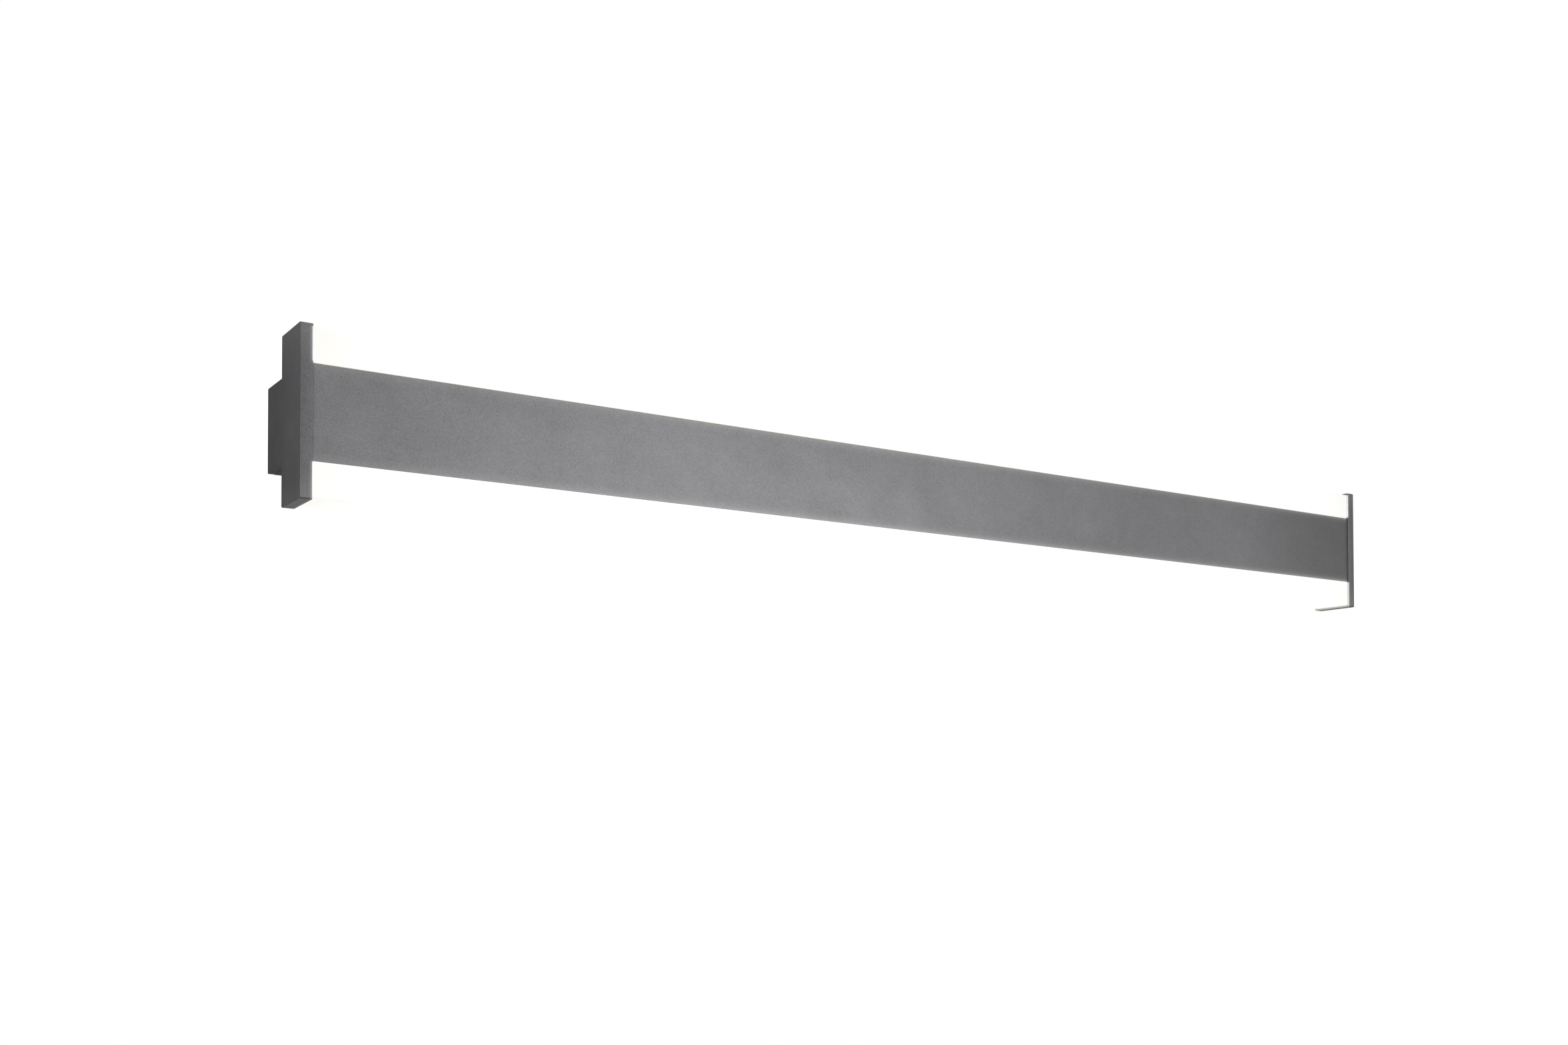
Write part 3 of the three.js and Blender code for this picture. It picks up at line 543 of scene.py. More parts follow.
coat_plate = plate_coat()
coat_band = band_coat()
coat_housing = housing_coat()
opal = lit_opal()
aluminium = drawn_aluminium()
zinc = zinc_plating()
rubber = moulded("black_rubber", 0.028, 0.028, 0.029, 0.72, 1400, RUBBER_RELIEF, 0.25)
white_case = moulded("white_case", 0.78, 0.78, 0.75, 0.45)
grey_case = moulded("grey_case", 0.33, 0.34, 0.35, 0.48)
orange_grip = moulded("orange_grip", 0.68, 0.2, 0.04, 0.4, 1800, FINE_RELIEF, 0.5)
board_mask = moulded("board_mask", 0.86, 0.86, 0.82, 0.42, 600, FINE_RELIEF)
phosphor = moulded("phosphor", 0.86, 0.66, 0.14, 0.35, 3000, FINE_RELIEF)
brown_insulation = moulded("brown_insulation", 0.13, 0.05, 0.02, 0.45, 900, FINE_RELIEF)
blue_insulation = moulded("blue_insulation", 0.02, 0.09, 0.35, 0.45, 900, FINE_RELIEF)
white_insulation = moulded("white_insulation", 0.7, 0.7, 0.67, 0.45, 900, FINE_RELIEF)
earth_insulation = striped_insulation()


# Meshes


def object_of(name, mesh):
    """A new object from a bmesh, which is used up."""
    data = bpy.data.meshes.new(name)
    mesh.to_mesh(data)
    mesh.free()
    made = bpy.data.objects.new(name, data)
    bpy.context.scene.collection.objects.link(made)
    return made


def rounded(corners):
    """The points of a closed outline. A third value is the radius of a right-angled corner."""
    points = []
    for index, (a, b, *radius) in enumerate(corners):
        corner = Vector((a, b))
        if not radius:
            points.append(corner)
            continue
        before = (Vector(corners[index - 1][:2]) - corner).normalized() * radius[0]
        after = (Vector(corners[(index + 1) % len(corners)][:2]) - corner).normalized() * radius[0]
        for step in range(ARC_STEPS + 1):
            angle = math.radians(90) * step / ARC_STEPS
            points.append(corner + before * (1 - math.sin(angle)) + after * (1 - math.cos(angle)))
    return points


def both_halves(half):
    """A half section and its mirror image below the middle."""
    return [*half, *((out, -up, *radius) for out, up, *radius in reversed(half))]


def along_x(corners, low, high):
    """An (out, up) section run along X as one closed mesh."""
    mesh = bmesh.new()
    points = rounded(corners)
    near, far = ([mesh.verts.new((x, -out, up)) for out, up in points] for x in (low, high))
    mesh.faces.new(near)
    mesh.faces.new(reversed(far))
    for index in range(len(points)):
        mesh.faces.new((near[index - 1], far[index - 1], far[index], near[index]))
    bmesh.ops.recalc_face_normals(mesh, faces=mesh.faces)
    return mesh


def open_sides(filled):
    """The corner cells of every side of a filled cell that has no neighbour."""
    for cell in sorted(filled):
        for axis in range(3):
            first, second = (other for other in range(3) if other != axis)
            for side in (0, 1):
                beyond = list(cell)
                beyond[axis] += 2 * side - 1
                if tuple(beyond) in filled:
                    continue
                ring = []
                for a, b in ((0, 0), (1, 0), (1, 1), (0, 1)):
                    corner = list(cell)
                    corner[axis] += side
                    corner[first] += a
                    corner[second] += b
                    ring.append(tuple(corner))
                yield ring


def box_union(boxes):
    """One closed mesh round (x, out, up) boxes that touch or overlap, with no faces inside."""
    boxes = [[[round(end, LEVEL_DIGITS) for end in span] for span in box] for box in boxes]
    levels = [sorted({end for box in boxes for end in box[axis]}) for axis in range(3)]
    filled = set()
    for box in boxes:
        cells = (range(*map(ends.index, span)) for ends, span in zip(levels, box))
        filled.update(itertools.product(*cells))
    mesh = bmesh.new()
    corners = {}
    for ring in open_sides(filled):
        for corner in ring:
            if corner not in corners:
                x, out, up = (levels[axis][corner[axis]] for axis in range(3))
                corners[corner] = mesh.verts.new((x, -out, up))
        mesh.faces.new([corners[corner] for corner in ring])
    bmesh.ops.recalc_face_normals(mesh, faces=mesh.faces)
    bmesh.ops.dissolve_limit(mesh, angle_limit=FLAT_ANGLE, verts=mesh.verts, edges=mesh.edges)
    return mesh


def add_block(mesh, x, out, up):
    """Adds a box between two values of x, out and up to a mesh."""
    size = (x[1] - x[0], out[1] - out[0], up[1] - up[0])
    middle = (sum(x) / 2, -sum(out) / 2, sum(up) / 2)
    bmesh.ops.create_cube(mesh, size=1, matrix=Matrix.Translation(middle) @ Matrix.Diagonal((*size, 1)))


def add_rod(mesh, diameter, start, end):
    """Adds a round rod between two (x, out, up) points to a mesh."""
    start, end = (Vector((x, -out, up)) for x, out, up in (start, end))
    turn = (end - start).to_track_quat("Z", "Y").to_matrix().to_4x4()
    bmesh.ops.create_cone(
        mesh, cap_ends=True, segments=HOLE_SIDES, radius1=diameter / 2, radius2=diameter / 2,
        depth=(end - start).length, matrix=Matrix.Translation((start + end) / 2) @ turn)


def add_slot(mesh, x, low, high):
    """Adds a round-ended slot along X, between two distances out, to a mesh."""
    straight = (SLOT_LENGTH - SLOT_WIDTH) / 2
    rings = [[], []]
    for ring, out in zip(rings, (low, high)):
        for end, start_angle in ((1, -90), (-1, 90)):
            for step in range(HOLE_SIDES // 2 + 1):
                angle = math.radians(start_angle + 360 * step / HOLE_SIDES)
                reach = SLOT_WIDTH / 2
                ring.append(mesh.verts.new(
                    (x + end * straight + reach * math.cos(angle), -out, reach * math.sin(angle))))
    faces = [mesh.faces.new(rings[0]), mesh.faces.new(reversed(rings[1]))]
    for index in range(len(rings[0])):
        faces.append(mesh.faces.new(
            (rings[0][index - 1], rings[1][index - 1], rings[1][index], rings[0][index])))
    bmesh.ops.recalc_face_normals(mesh, faces=faces)


def add_holes_out(mesh, diameter, places, low, high):
    """Adds rods along the out axis at (x, up) places to a mesh."""
    for x, up in places:
        add_rod(mesh, diameter, (x, low, up), (x, high, up))


def turned(rings, sides, closed_loop=False):
    """A mesh of (out, radius) rings about the out axis. A radius may be a function of the angle."""
    mesh = bmesh.new()
    made = []
    for out, radius in rings:
        ring = []
        for side in range(sides):
            angle = 2 * math.pi * side / sides
            reach = radius(angle) if callable(radius) else radius
            ring.append(mesh.verts.new((reach * math.cos(angle), -out, reach * math.sin(angle))))
        made.append(ring)
    pairs = list(zip(made, made[1:]))
    if closed_loop:
        pairs.append((made[-1], made[0]))
    else:
        mesh.faces.new(made[0])
        mesh.faces.new(reversed(made[-1]))
    for first, second in pairs:
        for side in range(sides):
            mesh.faces.new((first[side - 1], second[side - 1], second[side], first[side]))
    bmesh.ops.recalc_face_normals(mesh, faces=mesh.faces)
    return mesh


def settled(made):
    """Applies an object's modifiers."""
    bpy.context.view_layer.update()
    evaluated = made.evaluated_get(bpy.context.evaluated_depsgraph_get())
    data = bpy.data.meshes.new_from_object(evaluated)
    made.modifiers.clear()
    made.data = data
    return made


def combined(made, mesh, operation):
    """Cuts a closed mesh out of an object, or joins it on."""
    other = object_of("other", mesh)
    modifier = made.modifiers.new("combined", "BOOLEAN")
    modifier.operation = operation
    modifier.solver = "EXACT"
    modifier.object = other
    settled(made)
    bpy.data.objects.remove(other)


def smoothed(made):
    """Smooth shading, except across sharp edges."""
    made.data.shade_smooth()
    made.data.set_sharp_from_angle(angle=SHARP_ANGLE)
    return made


def mark_outer_edges(made):
    """Gives a full bevel weight to every edge that stands out of the object."""
    mesh = bmesh.new()
    mesh.from_mesh(made.data)
    weight = mesh.edges.layers.float.new("bevel_weight_edge")
    for edge in mesh.edges:
        if edge.is_convex and edge.calc_face_angle(0) > SHARP_ANGLE:
            edge[weight] = 1
    mesh.to_mesh(made.data)
    mesh.free()


def edged(made, width, segments=2):
    """Rounds the outer edges and smooths the shading, leaving flat faces flat."""
    mark_outer_edges(made)
    smoothed(made)
    modifier = made.modifiers.new("edges", "BEVEL")
    modifier.width = width
    modifier.segments = segments
    modifier.limit_method = "WEIGHT"
    modifier.harden_normals = True
    return settled(made)


def fit(made, material, body, slot, *nodes):
    """Gives a piece its material and body, and hides the CAD nodes that it stands for. The slot is not
    used.
    """
    made.data.materials.clear()
    made.data.materials.append(material)
    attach(made, body)
    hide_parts(*nodes)


# Pieces


def end_plate(side, sign):
    """A T-shaped plate, thinner in its stem, with two screw lugs inside the stem."""
    def reach(near, far):
        return tuple(sorted((sign * near, sign * far)))

    inner_face = HALF_LENGTH - PLATE_THICKNESS
    inner_stem = HALF_LENGTH - PLATE_STEM_THICKNESS
    lug_back = WEB_SEAT - LUG_THICKNESS
    made = object_of(f"end_plate_piece_{side}", along_x(both_halves([
        (WALL_GAP, STEM_HALF, PLATE_CORNER),
        (CORE_BACK, STEM_HALF),
        (CORE_BACK, HALF_HEIGHT, PLATE_CORNER),
        (DEPTH, HALF_HEIGHT, PLATE_CORNER),
    ]), *reach(inner_face, HALF_LENGTH)))
    rebate = bmesh.new()
    rebate_x = reach(inner_face - CUT_OVERRUN, inner_stem)
    add_block(rebate, rebate_x, (0, CORE_BACK), (-HALF_HEIGHT, HALF_HEIGHT))
    combined(made, rebate, "DIFFERENCE")
    lugs = bmesh.new()
    lug_x = reach(inner_stem + PLATE_EDGE, PLATE_LUG_END)
    for _, up in PLATE_SCREWS[side]:
        add_block(lugs, lug_x, (lug_back, WEB_SEAT), around(up, LUG_WIDTH))
    combined(made, lugs, "UNION")
    holes = bmesh.new()
    add_holes_out(holes, LARGE_HOLE, PLATE_SCREWS[side], lug_back - CUT_OVERRUN, WEB_SEAT + CUT_OVERRUN)
    combined(made, holes, "DIFFERENCE")
    edged(made, PLATE_EDGE, segments=5)
    fit(made, coat_plate, "luminaire", "anthracite_metal", f"end_plate_{side}")


def front_band():
    """A flat face with two barbed legs behind it."""
    leg_top = HOOK_BOTTOM - SEAT_GAP
    face_back = BAND_FRONT - BAND_THICKNESS
    barb_front = CORE_FRONT - HOOK_THICKNESS - SEAT_GAP
    barb_back = barb_front - BARB_LENGTH
    made = object_of("front_band_piece", along_x(both_halves([
        (face_back, leg_top - LEG_THICKNESS),
        (barb_back, leg_top - LEG_THICKNESS),
        (barb_back, leg_top),
        ((barb_front + barb_back) / 2, leg_top + BARB_RISE),
        (barb_front, leg_top + BARB_RISE),
        (barb_front, leg_top),
        (face_back, leg_top),
        (face_back, BAND_HALF),
        (BAND_FRONT, BAND_HALF),
    ]), -BAND_END, BAND_END))
    edged(made, BAND_EDGE, segments=4)
    fit(made, coat_band, "luminaire", "anthracite_metal", "front_band")


def diffuser(level, sign):
    """An opal channel, open to the core, with a foot on each leg."""
    shelf = BAND_HALF + SEAT_GAP
    foot_top = DIFFUSER_FOOT + BOARD_THICKNESS
    inner_top = DIFFUSER_TOP - DIFFUSER_WALL
    inner_corner = DIFFUSER_CORNER / 2
    front_foot = FRONT_RAIL + RAIL_THICKNESS + SEAT_GAP
    section = [
        (DIFFUSER_BACK, DIFFUSER_FOOT),
        (DIFFUSER_BACK, DIFFUSER_TOP, DIFFUSER_CORNER),
        (BAND_FRONT, DIFFUSER_TOP, DIFFUSER_CORNER),
        (BAND_FRONT, shelf),
        (CORE_FRONT, shelf),
        (CORE_FRONT, DIFFUSER_FOOT),
        (front_foot, DIFFUSER_FOOT),
        (front_foot, foot_top),
        (CORE_FRONT - DIFFUSER_WALL, foot_top),
        (CORE_FRONT - DIFFUSER_WALL, shelf + DIFFUSER_WALL),
        (BAND_FRONT - DIFFUSER_WALL, shelf + DIFFUSER_WALL),
        (BAND_FRONT - DIFFUSER_WALL, inner_top, inner_corner),
        (DIFFUSER_BACK + DIFFUSER_WALL, inner_top, inner_corner),
        (DIFFUSER_BACK + DIFFUSER_WALL, foot_top),
        (BACK_RAIL - SEAT_GAP, foot_top),
        (BACK_RAIL - SEAT_GAP, DIFFUSER_FOOT),
    ]
    made = object_of(f"diffuser_piece_{level}", along_x(
        [(out, sign * up, *radius) for out, up, *radius in section], -PROFILE_END, PROFILE_END))
    edged(made, SMALL_EDGE)
    fit(made, opal, "luminaire", "opal_plastic", f"diffuser_{level}")


def rear_housing():
    """A channel open to the wall, with a thread rib inside each flange."""
    rib_low, rib_high = around(centre("locking_screw_upper_1")[1], THREAD_RIB_WIDTH)
    rib_up = HOUSING_INNER_HALF - THREAD_RIB_RAISE
    made = object_of("rear_housing_piece", along_x(both_halves([
        (WEB_BACK, HOUSING_INNER_HALF),
        (rib_high, HOUSING_INNER_HALF),
        (rib_high, rib_up),
        (rib_low, rib_up),
        (rib_low, HOUSING_INNER_HALF),
        (WALL_GAP, HOUSING_INNER_HALF),
        (WALL_GAP, STEM_HALF),
        (HOUSING_FRONT, STEM_HALF),
    ]), -HOUSING_END, HOUSING_END))
    holes = bmesh.new()
    low, high = WEB_BACK - CUT_OVERRUN, HOUSING_FRONT + CUT_OVERRUN
    add_holes_out(holes, LARGE_HOLE, CORE_SCREWS, low, high)
    add_holes_out(holes, SMALL_HOLE, WEB_SCREWS, low, high)
    add_holes_out(holes, LEAD_HOLE, [spot("lead_bush")], low, high)
    for index in (1, 2):
        x, out, _ = centre(f"locking_screw_upper_{index}")
        for _, sign in LEVELS:
            inner, outer = sign * (rib_up - CUT_OVERRUN), sign * (STEM_HALF + CUT_OVERRUN)
            add_rod(holes, GRUB_HOLE, (x, out, inner), (x, out, outer))
    combined(made, holes, "DIFFERENCE")
    edged(made, HOUSING_EDGE, segments=3)
    fit(made, coat_housing, "luminaire", "anthracite_metal", "rear_housing")


def rail(start):
    """Corners of a T-shaped rail on top of the core, from its back."""
    past = start + RAIL_THICKNESS
    lip_top = RAIL_LIP_UNDER + RAIL_LIP
    return [
        (start, CORE_HALF),
        (start, RAIL_LIP_UNDER),
        (start - RAIL_OVERHANG, RAIL_LIP_UNDER),
        (start - RAIL_OVERHANG, lip_top),
        (past + RAIL_OVERHANG, lip_top),
        (past + RAIL_OVERHANG, RAIL_LIP_UNDER),
        (past, RAIL_LIP_UNDER),
        (past, CORE_HALF),
    ]


def core_profile():
    """A box section with rails for the diffusers and boards, and hooks for the band."""
    made = object_of("core_profile_piece", along_x(both_halves([
        (CORE_BACK, BAND_HALF),
        (CORE_BACK + CORE_FIN, BAND_HALF),
        (CORE_BACK + CORE_FIN, CORE_HALF),
        *rail(BACK_RAIL),
        *rail(FRONT_RAIL),
        (CORE_FRONT, CORE_HALF),
        (CORE_FRONT, HOOK_BOTTOM),
        (CORE_FRONT - HOOK_THICKNESS, HOOK_BOTTOM),
        (CORE_FRONT - HOOK_THICKNESS, CORE_INNER_HALF),
        (CORE_FRONT_WALL, CORE_INNER_HALF),
    ]), -PROFILE_END, PROFILE_END))
    hollow = along_x(both_halves([
        (CORE_BACK + CORE_WALL, CORE_INNER_HALF),
        (CORE_FRONT_WALL - CORE_WALL, CORE_INNER_HALF),
    ]), -HALF_LENGTH, HALF_LENGTH)
    combined(made, hollow, "DIFFERENCE")
    holes = bmesh.new()
    low, high = CORE_BACK - CUT_OVERRUN, CORE_BACK + CORE_WALL + CUT_OVERRUN
    add_holes_out(holes, LARGE_HOLE, CORE_SCREWS, low, high)
    add_holes_out(holes, LEAD_HOLE, [spot("lead_bush")], low, high)
    lead_x = BOARD_LEAD_HOLE_INSET - PROFILE_END
    for _, sign in LEVELS:
        inner, outer = sign * (CORE_INNER_HALF - CUT_OVERRUN), sign * (CORE_HALF + CUT_OVERRUN)
        add_rod(holes, BOARD_LEAD_HOLE, (lead_x, BOARD_CENTRE, inner), (lead_x, BOARD_CENTRE, outer))
    combined(made, holes, "DIFFERENCE")
    edged(made, SMALL_EDGE)
    fit(made, aluminium, "luminaire", "bare_aluminium", "core_profile")


def wall_plate():
    """A steel channel with fixing slots and a cable hole."""
    inner = WALL_PLATE_HALF - WALL_PLATE_STEEL
    made = object_of("wall_plate_piece", along_x(both_halves([
        (WALL_PLATE_STEEL, inner, WALL_PLATE_BEND - WALL_PLATE_STEEL),
        (WALL_PLATE_FLANGE, inner),
        (WALL_PLATE_FLANGE, WALL_PLATE_HALF),
        (0, WALL_PLATE_HALF, WALL_PLATE_BEND),
    ]), -WALL_PLATE_END, WALL_PLATE_END))
    holes = bmesh.new()
    low, high = -CUT_OVERRUN, WALL_PLATE_STEEL + CUT_OVERRUN
    for share in SLOT_SPACING_SHARES:
        for _, sign in SIDES:
            add_slot(holes, sign * share * HALF_LENGTH, low, high)
    add_holes_out(holes, CABLE_HOLE, [spot("cable_grommet")], low, high)
    combined(made, holes, "DIFFERENCE")
    edged(made, SMALL_EDGE)
    fit(made, zinc, "wall_bracket", "zinc_steel", "wall_plate")


def sleeve(node, rings, body):
    """A rubber sleeve about the out axis, at a CAD node's place."""
    made = object_of(f"{node}_piece", turned(rings, 2 * HOLE_SIDES, closed_loop=True))
    x, up = spot(node)
    made.data.transform(Matrix.Translation((x, 0, up)))
    edged(made, SMALL_EDGE)
    fit(made, rubber, body, "black_rubber", node)


def cable_grommet():
    """A sleeve with a flange on the wall plate and a nozzle with soft ridges."""
    x, (_, tip), _ = extent("cable_grommet")
    flange = (x[1] - x[0]) / 2
    barrel = CABLE_HOLE / 2 - SEAT_GAP
    face = WALL_PLATE_STEEL + SEAT_GAP
    front = face + GROMMET_FLANGE_THICKNESS
    nozzle = []
    for step in range(2 * GROMMET_RIDGES + 1):
        share = step / (2 * GROMMET_RIDGES)
        radius = barrel + (GROMMET_NOZZLE / 2 - barrel) * share
        nozzle.append((front + (tip - front) * share, radius - GROMMET_RIDGE * (step % 2)))
    sleeve("cable_grommet", [
        (SEAT_GAP, GROMMET_BORE / 2),
        (SEAT_GAP, barrel),
        (face, barrel),
        (face, flange),
        (front, flange),
        *nozzle,
        (tip, GROMMET_BORE / 2),
    ], "wall_bracket")


def lead_bush():
    """A sleeve through the web and the core's back wall, with a flange on the web."""
    x, (back, front), _ = extent("lead_bush")
    flange = (x[1] - x[0]) / 2
    outer = LEAD_HOLE / 2 - SEAT_GAP
    sleeve("lead_bush", [
        (back, outer - BUSH_WALL),
        (back, flange),
        (back + BUSH_FLANGE_THICKNESS, flange),
        (back + BUSH_FLANGE_THICKNESS, outer),
        (front, outer),
        (front, outer - BUSH_WALL),
    ], "luminaire")


def board_blocks(name, blocks, sign, edge, material, node):
    """Blocks drawn for the upper board, mirrored for the lower one."""
    mesh = bmesh.new()
    for x, out, up in blocks:
        add_block(mesh, x, out, tuple(sorted(sign * end for end in up)))
    made = edged(object_of(f"{node}_{name}", mesh), edge)
    fit(made, material, "luminaire", "white_board", node)


def light_board(level, sign):
    """A masked strip, and a row of chips on solder pads."""
    node = f"light_board_{level}"
    top = BOARD_BOTTOM + BOARD_THICKNESS
    chip_out = around(BOARD_CENTRE, CHIP_WIDTH)
    pad_up = around(top, 2 * PAD_HEIGHT)
    count = int(2 * (BOARD_END - CHIP_END_MARGIN) / CHIP_PITCH) + 1
    pads, chips = [], []
    for index in range(count):
        x = (index - (count - 1) / 2) * CHIP_PITCH
        pads.append((around(x, CHIP_LENGTH + 2 * PAD_REACH), chip_out, pad_up))
        chips.append((around(x, CHIP_LENGTH), chip_out, (top, CHIP_TOP)))
    strip = [((-BOARD_END, BOARD_END), (BOARD_BACK, BOARD_FRONT), (BOARD_BOTTOM, top))]
    board_blocks("strip", strip, sign, SMALL_EDGE, board_mask, node)
    board_blocks("pads", pads, sign, PAD_HEIGHT / 2, zinc, node)
    board_blocks("chips", chips, sign, SMALL_EDGE, phosphor, node)


def hexagon(across):
    """The distance from the middle to the side of a hexagon, by angle."""
    sixth = math.radians(60)
    return lambda angle: across / 2 / math.cos(angle % sixth - sixth / 2)


def threaded(start, end, diameter):
    """Rings of a threaded shank that ends in a short cone."""
    def radius_at(out):
        return lambda angle: diameter * (
            0.5 - THREAD_DEPTH_SHARE * abs(2 * ((out / pitch + angle / (2 * math.pi)) % 1) - 1))

    pitch = PITCH_SHARE * diameter
    tip = diameter * TIP_SHARE
    shoulder = end - tip
    count = math.ceil((shoulder - start) / pitch * RINGS_PER_PITCH)
    outs = [start + (shoulder - start) * index / count for index in range(count + 1)]
    return [*((out, radius_at(out)) for out in outs), (end, tip)]


def headed_screw(length, head, shank, head_height):
    """A screw along the out axis, from its head's face at 0 to its tip."""
    socket = head * SOCKET_SHARE
    crown = 3 * SMALL_EDGE
    return turned([
        (head_height * SOCKET_DEPTH_SHARE, hexagon(socket)),
        (SMALL_EDGE, hexagon(socket)),
        (0, hexagon(socket + 2 * SMALL_EDGE)),
        (0, head / 2 - crown),
        (SMALL_EDGE, head / 2 - SMALL_EDGE),
        (crown, head / 2),
        (head_height, head / 2),
        (head_height, shank / 2),
        *threaded(head_height + SMALL_EDGE, length, shank),
    ], SCREW_SIDES)


def grub_screw(length, diameter):
    """A headless screw along the out axis, from its socket at 0 to its tip."""
    socket = diameter * SOCKET_SHARE
    return turned([
        (length / 2, hexagon(socket)),
        (0, hexagon(socket)),
        (0, diameter / 2 - SMALL_EDGE),
        *threaded(SMALL_EDGE, length, diameter),
    ], SCREW_SIDES)


def screw(node):
    """A screw in its CAD node's place. Its socket faces the wall, or outwards on a grub screw."""
    (x_low, x_high), (out_low, out_high), (up_low, up_high) = extent(node)
    x, out, up = centre(node)
    width = x_high - x_low
    if node.startswith("locking"):
        sign = math.copysign(1, up)
        mesh = grub_screw(up_high - up_low, width)
        mesh.transform(Matrix.Rotation(sign * math.radians(90), 4, "X"))
        mesh.transform(Matrix.Translation((x, -out, up_high if sign > 0 else up_low)))
    else:
        large = node.startswith(("end_plate", "chassis"))
        sizes = (LARGE_SHANK, LARGE_HEAD_HEIGHT) if large else (SMALL_SHANK, SMALL_HEAD_HEIGHT)
        mesh = headed_screw(out_high - out_low, width, *sizes)
        mesh.transform(Matrix.Translation((x, -out_low, up)))
    fit(smoothed(object_of(f"{node}_piece", mesh)), zinc, "luminaire", "zinc_steel", node)


def light_driver():
    """A case with a seam under its grooved lid, a foot at each end and two lead ports in each end."""
    (low, high), (face, seat), (bottom, top) = extent("light_driver")
    case = (low + DRIVER_LUG, high - DRIVER_LUG)
    neck = (face + DRIVER_LID, face + DRIVER_LID + DRIVER_SEAM)
    foot_back = seat - DRIVER_LUG_THICKNESS
    made = object_of("light_driver_piece", box_union([
        (case, (neck[1], seat), (bottom, top)),
        ((case[0] + DRIVER_SEAM, case[1] - DRIVER_SEAM), neck, (bottom + DRIVER_SEAM, top - DRIVER_SEAM)),
        (case, (face, neck[0]), (bottom, top)),
        ((low, high), (foot_back, seat), (bottom + DRIVER_CORNER, top - DRIVER_CORNER)),
    ]))
    cuts = bmesh.new()
    port_out = (face + seat) / 2
    for (_, sign), end in zip(SIDES, case):
        inner, outer = end - sign * PORT_DEPTH, end + sign * CUT_OVERRUN
        for _, up_sign in LEVELS:
            up = up_sign * DRIVER_PORT_PITCH / 2
            add_rod(cuts, PORT, (inner, port_out, up), (outer, port_out, up))
    add_holes_out(cuts, SMALL_HOLE, DRIVER_SCREWS, foot_back - CUT_OVERRUN, seat + CUT_OVERRUN)
    groove_out = (face - CUT_OVERRUN, face + DRIVER_GROOVE / 2)
    for index in range(DRIVER_GROOVES):
        x = (low + high) / 2 + (index - (DRIVER_GROOVES - 1) / 2) * DRIVER_GROOVE_PITCH
        add_block(cuts, around(x, DRIVER_GROOVE), groove_out, (-DRIVER_GROOVE_REACH, DRIVER_GROOVE_REACH))
    combined(made, cuts, "DIFFERENCE")
    edged(made, SMALL_EDGE)
    fit(made, white_case, "luminaire", "white_plastic", "light_driver")


def terminal_block():
    """A block with a port above and below each pole, and cheeks that hold the lever pin."""
    (low, high), (cheek_face, seat), (bottom, top) = extent("terminal_block")
    pole_pitch = (PIN_X[1] - PIN_X[0] - CHEEK) / len(POLES)
    cheeks = [PIN_X[0] + pole_pitch * index for index in range(len(POLES) + 1)]
    made = object_of("terminal_block_piece", box_union([
        (PIN_X, (TERMINAL_FACE, seat), (bottom, top)),
        ((low, high), (seat - TERMINAL_LUG_THICKNESS, seat), around(0, TERMINAL_LUG_WIDTH)),
        *(((x, x + CHEEK), (cheek_face, TERMINAL_FACE), around(PIN_UP, CHEEK_WIDTH)) for x in cheeks),
    ]))
    cuts = bmesh.new()
    add_rod(cuts, PIN + 2 * SCREW_CLEARANCE, (low, PIN_OUT, PIN_UP), (high, PIN_OUT, PIN_UP))
    port_out = TERMINAL_FACE + TERMINAL_PORT_INSET
    for pole in POLES:
        x = centre(f"{pole}_lever")[0]
        for (_, sign), end in zip(LEVELS, (top, bottom)):
            inner, outer = end - sign * PORT_DEPTH, end + sign * CUT_OVERRUN
            add_rod(cuts, PORT, (x, port_out, inner), (x, port_out, outer))
    add_holes_out(cuts, SMALL_HOLE, TERMINAL_SCREWS, TERMINAL_FACE - CUT_OVERRUN, seat + CUT_OVERRUN)
    combined(made, cuts, "DIFFERENCE")
    edged(made, SMALL_EDGE)
    fit(made, grey_case, "luminaire", "grey_plastic", "terminal_block")


def lever(pole):
    """A hub on the pin, an arm against the block, and a raised tip with grooves."""
    node = f"{pole}_lever"
    width, (tip_face, hub_front), (tip_up, _) = extent(node)
    past = (width[0] - CUT_OVERRUN, width[1] + CUT_OVERRUN)
    arm_front = TERMINAL_FACE - SEAT_GAP
    arm_back = arm_front - LEVER_THICKNESS
    made = object_of(f"{node}_piece", box_union([
        (width, (arm_back, arm_front), (tip_up, PIN_UP)),
        (width, (tip_face, arm_back), (tip_up, tip_up + LEVER_TIP)),
    ]))
    hub = bmesh.new()
    add_rod(hub, 2 * (hub_front - PIN_OUT), (width[0], PIN_OUT, PIN_UP), (width[1], PIN_OUT, PIN_UP))
    combined(made, hub, "UNION")
    cuts = bmesh.new()
    add_rod(cuts, PIN + 2 * SCREW_CLEARANCE, (past[0], PIN_OUT, PIN_UP), (past[1], PIN_OUT, PIN_UP))
    for third in (1, 2):
        groove_up = around(tip_up + LEVER_TIP * third / 3, LEVER_GROOVE)
        add_block(cuts, past, (tip_face - CUT_OVERRUN, tip_face + LEVER_GROOVE), groove_up)
    combined(made, cuts, "DIFFERENCE")
    edged(made, LEVER_GROOVE / 3)
    fit(made, orange_grip, f"{pole}_lever_arm", "orange_plastic", node)


def kept_node(node, material):
    """Gives a CAD node that is shown as it is its material, and smooths its shading."""
    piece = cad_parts[node]
    piece.data.materials.clear()
    piece.data.materials.append(material)
    smoothed(piece)


